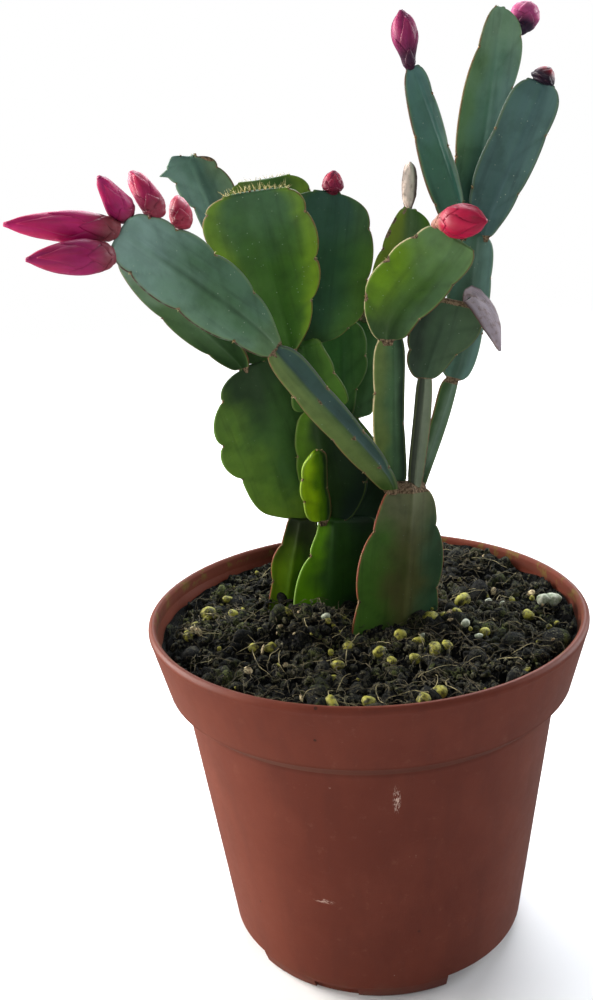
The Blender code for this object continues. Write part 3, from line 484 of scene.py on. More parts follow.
pads = {
    "a0": {"seat": ("soil", -24.0, 20.0), "tip": (-17.5, 17.0, 115.6), "facing": -5,
           "left": (4.5, 5.6, 5.6, 6.1, 4.0, 3.8), "right": (4.5, 6.0, 7.0, 6.4, 5.4, 4.8),
           "leftCuts": (0.50, 0.80), "rightCuts": (0.5, 0.74), "thick": 3.2, "neck": 3.0, "crown": 2.4,
           "tones": ((88, 118, 8), (72, 104, 4), (32, 62, 12)),
           "foot": (38, 64, 14), "top": (34, 44, 18), "topReach": 0.4, "crest": (0.0, 0.0, 0.0, 0.6, 1.0),
           "trims": ("russet", "none"), "specks": 0.1},
    "a1": {"seat": ("top", "a0", -0.4, -1.4), "tip": (-27.2, 15.5, 161.6), "facing": 16,
           "left": (3.5, 9.6, 14.4, 17.6, 12.2, 5.0), "right": (3.0, 7.6, 10.5, 11.5, 9.5, 4.5),
           "leftCuts": (0.445, 0.66, 0.875), "rightCuts": (0.25, 0.55, 0.8),
           "thick": 3.0, "crown": 2.6, "depth": 2.2, "tones": ((94, 128, 44), (60, 93, 43), (46, 74, 30)),
           "foot": (104, 134, 44), "top": (46, 68, 40), "topReach": 0.3,
           "trims": ("none", "none"), "specks": 0.18},
    "a2": {"seat": ("top", "a1", -3.4, 0.3), "tip": (-55.0, -12.0, 196.0), "facing": -20,
           "left": (1.5, 3.4, 6.6, 7.3, 4.4, 1.5), "right": (1.5, 2.4, 4.8, 6.0, 5.0, 1.5),
           "leftCuts": (0.3, 0.62), "rightCuts": (0.35, 0.7), "rise": 0.10,
           "tones": ((62, 90, 52), (66, 94, 60), (46, 74, 42)),
           "foot": (30, 58, 20), "footReach": 0.74, "top": (112, 134, 116),
           "trims": ("rust", "rust"), "corkFoot": 1.5, "specks": 0.15},
    "a3": {"seat": ("top", "a1", 2.2, -0.3), "tip": (-33.0, 24.0, 188.5), "facing": 10,
           "left": (1.6, 3.5, 6.6, 7.0, 6.0, 3.0), "right": (2.0, 5.5, 7.5, 7.5, 6.0, 3.0),
           "leftCuts": (0.5,), "rightCuts": (0.45,), "rise": 0.1,
           "tones": ((38, 66, 26), (40, 68, 28), (56, 86, 30)), "teeth": ((-1, 0.12, 1.6, 0.14),),
           "specks": 0.1},
    "a4": {"seat": ("top", "a3", 0.0, 0.0), "tip": (-42.0, 29.0, 216.5), "facing": 0,
           "left": (2.0, 2.6, 3.6, 5.6, 7.8, 7.4), "right": (2.0, 5.0, 7.5, 7.6, 5.6, 1.6),
           "leftCuts": (0.62, 0.86), "rightCuts": (0.5, 0.86), "depth": 1.4, "bow": -2.0,
           "tones": ((104, 134, 124), (76, 106, 94), (90, 114, 90)), "corkSpots": ((0.90, 0.97, 2.2),),
           "crest": (0.3, 1.9, 1.6, 0.8, 0.1, 0.6, -0.3, 0.6, 0.0), "teeth": ((-1, 0.965, 2.4, 0.04),),
           "trims": ("faint", "rust"), "specks": 0.2},
    "b0": {"seat": ("soil", -10.5, 13.0), "tip": (-8.0, 14.0, 116.2), "facing": 5,
           "left": (7.0, 9.2, 10.2, 9.2, 4.4, 4.8), "right": (7.0, 9.8, 12.0, 13.0, 12.8, 11.8),
           "leftCuts": (0.74,), "rightCuts": (0.45, 0.75), "thick": 3.4, "neck": 3.2, "crown": 4.6,
           "depth": 2.6, "tones": ((88, 138, 4), (30, 62, 14), (12, 36, 16)),
           "foot": (40, 76, 14), "crest": (1.0, 0.6, 0.0, 0.0, 0.0),
           "trims": ("pale", "none"), "specks": 0.1},
    "b1": {"seat": ("top", "b0", 0.4, -0.2), "tip": (-11.0, 11.5, 149.0), "facing": -10,
           "left": (2.6, 6.0, 7.8, 8.4, 6.0, 3.8), "right": (2.6, 5.5, 9.6, 11.0, 9.0, 4.4),
           "leftCuts": (0.3, 0.66), "rightCuts": (0.4, 0.75), "thick": 3.0, "crown": 2.2,
           "tones": ((66, 100, 6), (26, 50, 14), (10, 32, 20)), "teeth": ((1, 0.42, 1.2, 0.22),),
           "trims": ("faint", "none"), "specks": 0.1},
    "b2": {"seat": ("top", "b0", -3.4, 1.5), "tip": (-11.5, 3.0, 139.8), "facing": 30,
           "left": (1.5, 4.2, 5.8, 6.2, 5.0, 2.4), "right": (1.3, 1.9, 2.3, 2.5, 2.6, 1.6),
           "leftCuts": (0.45, 0.76), "rightCuts": (0.5,), "thick": 2.2, "depth": 0.7, "bow": -0.6,
           "tones": ((146, 184, 8), (70, 108, 4), (10, 36, 16)),
           "trims": ("pale", "rust"), "specks": 0.1},
    "b3": {"seat": ("top", "b1", 0.0, 0.0), "tip": (-13.5, 8.0, 167.3), "facing": 0,
           "left": (2.2, 5.5, 6.6, 6.4, 5.6, 5.0), "right": (3.0, 7.8, 8.4, 7.0, 5.0, 4.8),
           "leftCuts": (0.4,), "rightCuts": (0.62,), "crown": 6.4, "depth": 1.2, "rise": 0.12,
           "tones": ((56, 92, 30), (40, 74, 24), (66, 102, 32)),
           "specks": 0.1},
    "b4": {"seat": ("top", "b3", -3.0, 2.2), "tip": (-22.0, -15.0, 208.0), "facing": -5,
           "left": (1.6, 5.6, 9.6, 13.0, 13.6, 8.0), "right": (1.4, 2.4, 7.6, 12.0, 11.4, 8.4),
           "leftCuts": (0.35, 0.68, 0.93), "rightCuts": (0.42, 0.64, 0.88), "depth": 1.4, "rise": 0.12,
           "tones": ((56, 90, 30), (44, 80, 20), (60, 96, 20)),
           "foot": (40, 78, 10), "top": (60, 92, 60), "glow": 0.62,
           "trims": ("rust", "rust"), "specks": 0.4},
    "b5": {"seat": ("top", "b3", 2.9, -0.4), "tip": (-5.0, 10.0, 206.0), "facing": 10,
           "left": (1.5, 3.6, 8.2, 11.0, 10.5, 4.5), "right": (1.5, 5.6, 12.0, 12.8, 10.2, 2.8),
           "leftCuts": (0.3, 0.6, 0.85), "rightCuts": (0.22, 0.55, 0.82), "rise": 0.10,
           "tones": ((48, 82, 66), (34, 70, 44), (58, 96, 44)),
           "foot": (28, 58, 18), "top": (46, 78, 64), "glow": 0.2,
           "trims": ("faint", "rust"), "specks": 0.2},
    "b6": {"seat": ("top", "b3", -1.6, -2.3), "tip": (-21.2, 29.0, 209.6), "facing": 5,
           "left": (1.4, 4.4, 9.0, 12.2, 12.2, 9.0), "right": (1.4, 3.0, 8.0, 11.5, 10.4, 5.6),
           "leftCuts": (0.3, 0.6, 0.88), "rightCuts": (0.35, 0.65, 0.9), "rise": 0.08,
           "tones": ((96, 116, 62), (58, 92, 34), (84, 110, 40)),
           "glow": 0.5,
           "specks": 0.2},
    "e0": {"seat": ("top", "b0", 5.2, -1.0), "tip": (4.5, 20.0, 126.0), "facing": 10,
           "left": (1.2, 1.5, 2.3, 2.8, 2.6, 1.8), "right": (1.2, 2.8, 7.8, 8.5, 6.0, 2.2),
           "rightCuts": (0.5,), "crown": 3.4, "depth": 0.6, "rise": 0.18, "bow": -0.5,
           "tones": ((34, 56, 36), (14, 38, 20), (14, 38, 22)), "teeth": ((-1, 0.75, 1.4, 0.3),),
           "trims": ("none", "none"), "specks": 0.0},
    "e1": {"seat": ("top", "e0", 0.0, 0.0), "tip": (-3.0, 29.0, 141.0), "facing": 10,
           "left": (1.4, 2.0, 2.6, 3.2, 3.2, 3.0), "right": (1.4, 2.0, 2.6, 3.2, 3.2, 3.0),
           "leftCuts": (0.5,), "rightCuts": (0.5,), "crown": 4.8, "depth": 0.4, "rise": 0.32,
           "tones": ((44, 74, 36), (38, 62, 38), (44, 74, 36)),
           "trims": ("none", "faint"), "specks": 0.0},
    "e2": {"seat": ("top", "e1", -0.6, 1.3), "tip": (-4.0, 23.0, 171.6), "facing": 10,
           "left": (1.5, 3.6, 7.2, 8.0, 6.5, 3.0), "right": (1.5, 2.8, 4.8, 7.6, 6.0, 2.6),
           "leftCuts": (0.35, 0.66), "rightCuts": (0.40, 0.7),
           "tones": ((64, 104, 56), (52, 92, 46), (68, 106, 54)),
           "foot": (24, 52, 20),
           "specks": 0.1},
    "e3": {"seat": ("top", "e1", 0.6, -1.3), "tip": (3.0, 38.0, 168.5), "facing": 5,
           "left": (1.5, 5.0, 7.5, 8.0, 6.5, 3.0), "right": (1.5, 5.4, 7.4, 7.6, 6.5, 3.0),
           "leftCuts": (0.35, 0.66), "rightCuts": (0.36, 0.7), "rise": 0.16,
           "tones": ((70, 100, 64), (52, 86, 42), (72, 104, 66)),
           "trims": ("faint", "pale"), "specks": 0.15},
    "c0": {"seat": ("soil", 7.6, 1.2), "tip": (12.0, 6.0, 127.4), "facing": 28,
           "left": (9.0, 13.4, 14.2, 12.8, 7.8, 5.6), "right": (9.0, 12.0, 13.2, 12.4, 8.9, 6.2),
           "leftCuts": (0.42, 0.78), "rightCuts": (0.46, 0.8), "thick": 5.2, "neck": 4.6, "crown": 7.6,
           "depth": 1.7, "tones": ((66, 104, 34), (78, 80, 42), (50, 80, 54)),
           "foot": (44, 62, 26), "top": (92, 96, 66), "corkTop": 1.1,
           "trims": ("russet", "russet"), "specks": 0.18},
    "c1": {"seat": ("top", "c0", -5.0, 1.9), "tip": (-18.5, -28.0, 173.0), "facing": 0,
           "left": (1.6, 3.4, 5.0, 4.8, 3.7, 2.4), "right": (1.4, 1.4, 2.4, 3.5, 4.0, 2.2),
           "leftCuts": (0.3, 0.55, 0.8), "rightCuts": (0.25, 0.5, 0.75), "thick": 5.0, "neck": 2.4,
           "crown": 2.4, "depth": 0.4, "rise": 0.10, "ridge": 1.0, "veins": 0.0,
           "tones": ((94, 112, 62), (78, 98, 58), (52, 76, 70)),
           "foot": (54, 78, 32), "split": (0.0, 0.0),
           "corkSpots": ((0.0, 0.30, 0.9), (0.0, 0.52, 0.8), (0.0, 0.74, 0.9)),
           "trims": ("rust", "faint"), "corkFoot": 1.0, "specks": 0.35},
    "c2": {"seat": ("top", "c1", 0.0, 0.0), "tip": (-48.0, -46.5, 202.6), "facing": 35,
           "left": (1.8, 3.8, 6.3, 7.6, 6.6, 4.2), "right": (1.8, 2.8, 7.0, 8.6, 6.8, 3.8),
           "leftCuts": (0.3, 0.62, 0.88), "rightCuts": (0.35, 0.6, 0.8, 0.93), "thick": 3.4,
           "tones": ((96, 126, 102), (70, 102, 72), (74, 104, 82)),
           "foot": (84, 112, 76), "top": (120, 148, 138), "topReach": 0.42,
           "trims": ("umber", "faint"), "corkFoot": 1.6, "specks": 0.5, "streak": 0.5},
    "c3": {"seat": ("top", "c0", -3.4, -1.8), "tip": (9.0, 2.0, 169.0), "facing": 15,
           "left": (2.6, 4.4, 5.0, 5.2, 4.8, 3.6), "right": (2.4, 3.8, 3.6, 3.4, 3.6, 3.2),
           "leftCuts": (0.35, 0.7), "rightCuts": (0.5,), "thick": 4.4, "neck": 2.6, "crown": 5.0,
           "depth": 0.5, "ridge": 1.1, "tones": ((94, 112, 58), (62, 92, 60), (30, 50, 32)), "veins": 0.4,
           "trims": ("cream", "faint"), "specks": 0.25},
    "c4": {"seat": ("top", "c3", -1.0, 1.4), "tip": (25.2, -9.0, 194.2), "facing": -5,
           "left": (1.6, 4.8, 10.4, 10.8, 8.4, 6.6), "right": (1.6, 4.0, 5.4, 6.4, 6.4, 5.2),
           "leftCuts": (0.3, 0.6, 0.85), "rightCuts": (0.4, 0.75), "depth": 0.7,
           "tones": ((88, 122, 4), (54, 84, 28), (54, 82, 48)),
           "foot": (44, 68, 34), "footReach": 0.5, "top": (84, 114, 70),
           "corkSpots": ((-1.0, 0.30, 1.3), (-1.0, 0.60, 1.2), (-1.0, 0.85, 1.2)),
           "trims": ("cream", "rust"), "specks": 0.3},
    "c5": {"seat": ("top", "c3", 1.2, -1.9), "tip": (15.0, 14.0, 200.5), "facing": 20,
           "left": (1.5, 4.4, 7.4, 7.4, 3.8, 1.8), "right": (1.5, 2.4, 4.2, 6.4, 6.4, 2.2),
           "leftCuts": (0.4, 0.7), "rightCuts": (0.4, 0.7), "rise": 0.05,
           "tones": ((104, 122, 40), (72, 96, 56), (70, 102, 40)),
           "glow": 0.3, "corkSpots": ((-0.96, 0.80, 1.3), (-0.96, 0.89, 1.2), (-0.5, 0.98, 1.4)),
           "trims": ("faint", "rust"), "specks": 0.2},
    "d0": {"seat": ("top", "c0", 2.3, 0.9), "tip": (17.8, 7.5, 157.0), "facing": 10,
           "left": (1.5, 1.9, 2.2, 2.3, 2.3, 2.0), "right": (1.5, 1.9, 2.2, 2.4, 2.3, 2.0),
           "thick": 3.0, "crown": 2.6, "depth": 0.3, "rise": 0.15, "ridge": 1.0,
           "tones": ((50, 54, 44), (70, 78, 64), (112, 122, 100)),
           "split": (-0.25, -0.1), "corkAll": 0.26, "veins": 0.0,
           "trims": ("faint", "rust"), "specks": 0.1},
    "d1": {"seat": ("top", "d0", 0.0, 0.0), "tip": (23.9, 5.6, 178.0), "facing": 10,
           "left": (1.8, 3.7, 6.4, 7.2, 6.0, 4.0), "right": (1.8, 3.3, 6.2, 10.0, 11.4, 7.0),
           "leftCuts": (0.4, 0.75), "rightCuts": (0.45, 0.8),
           "tones": ((48, 64, 48), (60, 82, 58), (72, 94, 66)), "corkTop": 0.9,
           "corkSpots": ((0.92, 0.90, 1.5),), "streak": 0.6,
           "trims": ("rust", "umber"), "specks": 0.3},
    "f0": {"seat": ("top", "c0", 5.2, -1.2), "tip": (25.6, 14.0, 155.3), "facing": 10,
           "left": (1.5, 1.7, 1.8, 2.4, 3.0, 2.0), "right": (1.5, 1.7, 2.0, 2.2, 2.0, 1.8),
           "thick": 3.2, "crown": 2.6, "depth": 0.4, "rise": 0.15, "ridge": 1.0,
           "tones": ((54, 80, 44), (92, 114, 94), (84, 108, 86)),
           "foot": (46, 72, 38), "corkTop": 1.2, "veins": 0.0,
           "trims": ("rust", "faint"), "specks": 0.2},
    "f1": {"seat": ("top", "f0", 0.0, 0.0), "tip": (31.2, 14.0, 192.8), "facing": 20,
           "left": (1.8, 3.8, 5.0, 5.4, 5.2, 4.6), "right": (1.8, 4.6, 6.4, 6.8, 6.2, 4.6),
           "leftCuts": (0.4, 0.75), "rightCuts": (0.4, 0.75), "thick": 4.6, "crown": 6.2,
           "depth": 0.5, "ridge": 1.0, "tones": ((76, 108, 92), (64, 90, 74), (86, 116, 106)), "veins": 0.3,
           "specks": 0.35},
    "f2": {"seat": ("top", "f1", -3.4, 1.5), "tip": (16.0, 4.0, 233.9), "facing": 15,
           "left": (1.4, 3.2, 5.8, 5.4, 3.4, 1.6), "right": (1.4, 1.6, 2.2, 3.0, 3.3, 2.2),
           "leftCuts": (0.35, 0.7), "rightCuts": (0.3, 0.6, 0.85), "thick": 3.6, "depth": 0.5,
           "rise": 0.10, "ridge": 1.2, "tones": ((60, 98, 80), (58, 102, 86), (100, 128, 114)),
           "split": (0.60, 0.34), "top": (76, 110, 104),
           "trims": ("rust", "faint"), "specks": 0.45},
    "f3": {"seat": ("top", "f1", -0.4, -2.0), "tip": (39.0, 21.0, 248.0), "facing": 20,
           "left": (1.5, 3.8, 6.8, 6.6, 3.6, 1.2), "right": (1.5, 3.8, 6.6, 7.0, 7.2, 1.8),
           "leftCuts": (0.4, 0.83), "rightCuts": (0.35, 0.7, 0.9), "thick": 3.2, "depth": 0.8,
           "tones": ((90, 122, 82), (86, 122, 102), (106, 136, 126)),
           "foot": (32, 66, 60), "footReach": 0.66, "top": (112, 142, 114),
           "trims": ("rust", "faint"), "specks": 0.35},
    "f4": {"seat": ("top", "f1", 3.0, 1.2), "tip": (47.3, 5.6, 229.0), "facing": 0,
           "left": (1.5, 3.4, 6.8, 7.0, 6.2, 3.8), "right": (1.5, 3.0, 5.4, 6.2, 6.0, 3.6),
           "leftCuts": (0.35, 0.7), "rightCuts": (0.4, 0.75), "thick": 3.4, "depth": 0.5,
           "tones": ((70, 98, 94), (68, 96, 94), (76, 104, 100)),
           "specks": 0.75},
}


def smoothValue(values, t):
    # value at t, 0 to 1, of a smooth curve through evenly spaced values
    last = len(values) - 1
    place = min(max(t, 0.0), 1.0) * last
    index = min(int(place), last - 1)
    part = place - index
    before = values[max(index - 1, 0)]
    start, end = values[index], values[index + 1]
    after = values[min(index + 2, last)]
    slopeIn = (end - before) / 2
    slopeOut = (after - start) / 2
    cubic = 2 * start - 2 * end + slopeIn + slopeOut
    square = -3 * start + 3 * end - 2 * slopeIn - slopeOut
    return ((cubic * part + square) * part + slopeIn) * part + start


class Spine:
    # the midrib of a pad or bud, from its seat to its tip, with a facing direction
    def __init__(self, base, start, tip, facing, rise, bow):
        angle = math.radians(facing)
        self.front = Vector((math.sin(angle), -math.cos(angle), 0.0))
        chord = tip - base
        ahead = chord.normalized()
        outward = (self.front - self.front.dot(ahead) * ahead).normalized()
        self.length = chord.length
        self.knots = (
            base,
            base + start.normalized() * (chord.length * rise),
            tip - ahead * (chord.length * padGrid["tipReach"]) + outward * (bow * 2.0),
            tip,
        )

    def frame(self, t):
        u = (1 - math.cos(math.pi * t)) / 2
        v = 1 - u
        a, b, c, d = self.knots
        point = v * v * v * a + 3 * v * v * u * b + 3 * v * u * u * c + u * u * u * d
        ahead = (v * v * (b - a) + 2 * v * u * (c - b) + u * u * (d - c)).normalized()
        normal = (self.front - self.front.dot(ahead) * ahead).normalized()
        return point, ahead, ahead.cross(normal), normal


def stationOf(fraction):
    return math.acos(1 - 2 * fraction) / math.pi


def scalloped(values, cuts, depth, t):
    # half-width at t, with rounded scallops between the notches of the margin
    edges = [0.0] + [stationOf(cut) for cut in cuts] + [1.0]
    width = smoothValue(values, t)
    for low, high in zip(edges, edges[1:]):
        if low <= t <= high:
            part = (t - low) / (high - low)
            swell = (4 * part * (1 - part)) ** padGrid["scallopPower"] - 0.6
            return width + depth * swell * math.sqrt(math.sin(math.pi * t))
    return width


def marginPoint(pad, hand, t):
    point, ahead, side, normal = pad["spine"].frame(t)
    name = "left" if hand < 0 else "right"
    width = scalloped(pad[name], pad[name + "Cuts"], pad["depth"], t)
    return point + side * (hand * width) + normal * pad["cup"]


def outwardAt(pad, hand, t):
    # the direction out of the margin, in the plane of the pad, and the pad's normal
    step = padGrid["marginStep"]
    along = marginPoint(pad, hand, t + step) - marginPoint(pad, hand, t - step)
    normal = pad["spine"].frame(t)[3]
    return (normal.cross(along) * -hand).normalized(), normal


def seatOf(seat):
    # place and direction of a foot, on the soil, on the top of a pad or on its margin
    kind = seat[0]
    if kind == "soil":
        return Vector((seat[1], seat[2], padGrid["soilFoot"])), Vector((0.0, 0.0, 1.0))
    parent = pads[seat[1]]
    if kind == "top":
        point, ahead, side, normal = parent["spine"].frame(1.0)
        return point + side * seat[2] + normal * seat[3] + ahead * padGrid["gap"], ahead
    hand, t = seat[2], stationOf(seat[3])
    outward, normal = outwardAt(parent, hand, t)
    return marginPoint(parent, hand, t) + normal * seat[4] + outward * padGrid["gap"], outward


def padRows(pad):
    marks = {0.0, 1.0}
    for cut in pad["leftCuts"] + pad["rightCuts"]:
        marks.add(round(stationOf(cut), 4))
    marks = sorted(marks)
    rows = [0.0]
    for low, high in zip(marks, marks[1:]):
        steps = max(2, math.ceil((high - low) / padGrid["rowStep"]))
        rows += [low + (high - low) * step / steps for step in range(1, steps + 1)]
    return rows


def veinAt(pad, part, u):
    # strength of the side veins, which run from the midrib up to each notch
    cuts = pad["rightCuts"] if part > 0 else pad["leftCuts"]
    far = abs(part)
    strength = 0.0
    for cut in cuts:
        line = cut - padGrid["veinRise"] * (1 - far) ** 1.3
        gap = (u - line) * pad["spine"].length
        strength = max(strength, math.exp(-(gap / padGrid["veinWidth"]) ** 2) * (0.35 + 0.65 * far))
    return strength * pad["veins"] * ease(0.02, 0.12, far)


def padSkin(pad, place, part, u, edgeGap, crease):
    # tone and marks of one point of a pad: vein, cork and distance to the margin
    # painted light and shade: the left, middle and right tones make each side of a pad lighter or darker as
    # the light falls on it
    left, middle, right = (shade(*tone) for tone in pad["tones"])
    drift = sum(height * noise.noise(place / size) for height, size in padGrid["drift"])
    if pad["split"]:
        # a ridge between two faces that take the light differently
        low, high = pad["split"]
        gap = part - low - (high - low) * u + 0.10 * drift
        tone = blendTone(blendTone(left, middle, ease(-0.5, -0.05, gap)), right, ease(-0.03, 0.10, gap))
    else:
        across = part + drift
        tone = blendTone(middle, left if across < 0 else right, ease(0.06, 0.75, abs(across)))
    # the foot and top tones are partly the pad's own tone and partly painted light and shade
    if pad["foot"]:
        tone = blendTone(shade(*pad["foot"]), tone, ease(0.02, pad["footReach"], u + 0.4 * drift))
    if pad["top"]:
        tone = blendTone(tone, shade(*pad["top"]), ease(0.96 - pad["topReach"], 0.96, u + 0.4 * drift))
    # painted glow: light shining through a pad's thin margins, painted in as a lime tone towards the edges
    if pad["glow"]:
        paintedGlowShare = ease(0.48, 0.92, abs(part) + 0.5 * drift) * ease(0.05, 0.3, u)
        tone = blendTone(tone, tones["paintedGlow"], pad["glow"] * paintedGlowShare)
    length = pad["spine"].length
    cork = pad["corkAll"]
    cork = max(cork, 1.1 - ease(0.2, pad["corkFoot"] * 1.5, u * length))
    if pad["corkTop"]:
        cork = max(cork, 1.0 - ease(0.1, pad["corkTop"] * 1.5, (1 - u) * length))
    for spotPart, spotU, spotSize in pad["corkSpots"]:
        width = sum(smoothValue(pad[name], 0.5) for name in ("left", "right")) / 2
        gap = math.hypot((part - spotPart) * width, (u - spotU) * length)
        cork = max(cork, 1.0 - ease(spotSize * 0.4, spotSize, gap))
    cork = max(cork, crease)
    streak = pad["streak"] * math.exp(-((part + 0.25 * drift) / 0.05) ** 2)
    tone = blendTone(tone, shade(34, 54, 36), streak * ease(0.05, 0.2, u) * (1 - ease(0.7, 0.9, u)))
    return tone, (veinAt(pad, part, u), cork, edgeGap)


def notchGap(pad, hand, t, edgeGap):
    # how close a point is to an areole, as a small corky spot in the notch
    cuts = pad["rightCuts"] if hand > 0 else pad["leftCuts"]
    nearest = math.inf
    u = (1 - math.cos(math.pi * t)) / 2
    for cut in cuts:
        nearest = min(nearest, math.hypot((u - cut) * pad["spine"].length, edgeGap))
    return 1.0 - ease(*padGrid["areole"], nearest)


def padMesh(name, pad):
    grid = padGrid
    rows = padRows(pad)
    count = grid["columns"]
    parts = [math.sin(math.pi / 2 * (2 * i / count - 1)) for i in range(count + 1)]
    rim = grid["rimThickness"]
    points, vertexTones, vertexMap, vertexMarks, vertexTrims = [], [], [], [], []
    phase = random.Random(name).uniform(0, 2 * math.pi)
    edges = [(*shade(*trims[label][0]), trims[label][1]) for label in pad["trims"]]

    def addRing(t, ahead=0.0, shrink=0.0, squeeze=1.0, crest=0.0):
        # one closed ring round the pad: its front from left to right, then its back
        point, direction, side, normal = pad["spine"].frame(t)
        point = point + direction * ahead
        left = max(grid["leastWidth"], scalloped(pad["left"], pad["leftCuts"], pad["depth"], t) - shrink)
        right = max(grid["leastWidth"], scalloped(pad["right"], pad["rightCuts"], pad["depth"], t) - shrink)
        middle = smoothValue(pad["thickness"], t)
        body = math.sin(math.pi * t) ** 0.5 if 0 < t < 1 else 0.0
        u = (1 - math.cos(math.pi * t)) / 2
        for hand, toothU, height, half in pad["teeth"]:
            tooth = height * max(0.0, 1 - abs(u - toothU) / half) ** 1.4
            left, right = (left + tooth, right) if hand < 0 else (left, right + tooth)
        for face in (1, -1):
            for part in parts if face > 0 else parts[-2:0:-1]:
                far = abs(part)
                width = right if part > 0 else left
                edge = min(rim, middle)
                thick = edge + (middle - edge) * (1 - far) ** pad["ridge"]
                roundFrom = 1 - min(0.45, 0.62 * edge / width)
                if far > roundFrom:
                    thick *= math.sqrt(max(0.0, 1 - ((far - roundFrom) / (1 - roundFrom)) ** 2))
                rib = grid["midrib"] * math.exp(-(part / grid["midribWidth"]) ** 2) * body
                vein = grid["veinDepth"] * veinAt(pad, part, u) * body * (1 - far ** 4)
                half = (thick / 2 + rib - vein) * squeeze
                turn = grid["waves"] * u * math.copysign(1, part) + phase
                wave = grid["waveHeight"] * far * far * math.sin(turn) * body
                rise = pad["cup"] * part * part + wave + face * half
                spot = point + side * (part * width) + normal * rise
                spot += direction * (crest * smoothValue(pad["crest"], (part + 1) / 2))
                dent = grid["dentHeight"] * noise.noise(spot / grid["dentSize"]) * body * (1 - far ** 3)
                points.append(spot + normal * (face * dent))
                edgeGap = (1 - far) * width
                crease = notchGap(pad, part, t, edgeGap)
                tone, marks = padSkin(pad, spot, part, u, edgeGap, crease)
                vertexTones.append(tone)
                vertexMarks.append(marks)
                vertexTrims.append(edges[1] if part > 0 else edges[0])
                vertexMap.append((part * width, u * pad["spine"].length, 3.0 * face))

    if pad["seat"][0] != "soil":
        addRing(0.0, ahead=-grid["rootLength"], shrink=grid["rootShrink"], squeeze=grid["rootSqueeze"])
    for t in rows:
        addRing(t)
    reach = grid["domeRise"] * pad["crown"]
    for step in range(1, grid["domeRows"] + 1):
        angle = grid["domeTurn"] * math.pi / 2 * step / grid["domeRows"]
        addRing(1.0, ahead=reach * math.sin(angle), shrink=reach * 1.1 * (1 - math.cos(angle)),
                squeeze=math.cos(angle), crest=math.sin(angle))
    ring = 2 * count
    faces = bandFaces(0, len(points) // ring - 1, ring)
    last = len(points) - ring
    for i in range(1, count - 1):
        faces.append((i + 1, i, ring - i, ring - i - 1))
        faces.append((last + i, last + i + 1, last + ring - i - 1, last + ring - i))
    for low, turn in ((0, -1), (last, 1)):
        faces.append((low, low + 1, low + ring - 1)[::turn])
        faces.append((low + count - 1, low + count, low + count + 1)[::turn])
    return grownMesh(name, points, faces, vertexTones, vertexMap, vertexMarks, vertexTrims, pad["specks"])


def growPads(skin):
    for key, pad in pads.items():
        for name, value in padDefaults.items():
            pad.setdefault(name, value)
        base, start = seatOf(pad["seat"])
        pad["spine"] = Spine(base, start, Vector(pad["tip"]), pad["facing"], pad["rise"], pad["bow"])
        neck, thick, crown = pad["neck"], pad["thick"], pad["crown"]
        pad["thickness"] = (neck, (neck + thick) / 2, thick, thick, (thick + crown) / 2, crown)
    for key, pad in pads.items():
        piece = objectOf("pad_" + key, padMesh("pad_" + key, pad), skin)
        slotName = "cactus_cork" if key == "d0" else "cactus_skin"
        finishPiece(piece, slotName, "segment_" + key)
    print("pads:", len(pads))


# Buds: a closed core wrapped in overlapping petals

budLook = {
    "leastFoot": 0.72,      # share of the greatest radius at the foot of a plain bud
    "rows": 22,
    "rootRows": 5,
    "sides": 28,
    "rise": 0.12,
    "root": 0.8,            # a bud's foot runs this far into its pad
    "petalRows": 14,
    "petalColumns": 8,
    "petalThickness": 0.22,
    "core": 0.90,           # the core's share of a bud's radius
    "wobble": 0.05,
    "keel": 0.035,
    "keelWidth": 0.22,
    "edgeDrop": 0.045,
    "blush": (0.14, 0.46),  # where the calyx gives way to the petals' tone
    "edgeTone": (84, 20, 44),
    "edgeShare": 0.28,
    # start, end, number of petals, half-angle in degrees, lift over the core, first turn
    "layers": ((0.16, 1.00, 3, 70, 0.04, 20), (0.10, 0.90, 3, 64, 0.08, 75), (0.05, 0.66, 3, 60, 0.115, 20),
               (0.03, 0.44, 3, 56, 0.145, 80), (0.02, 0.25, 3, 54, 0.165, 35)),
}
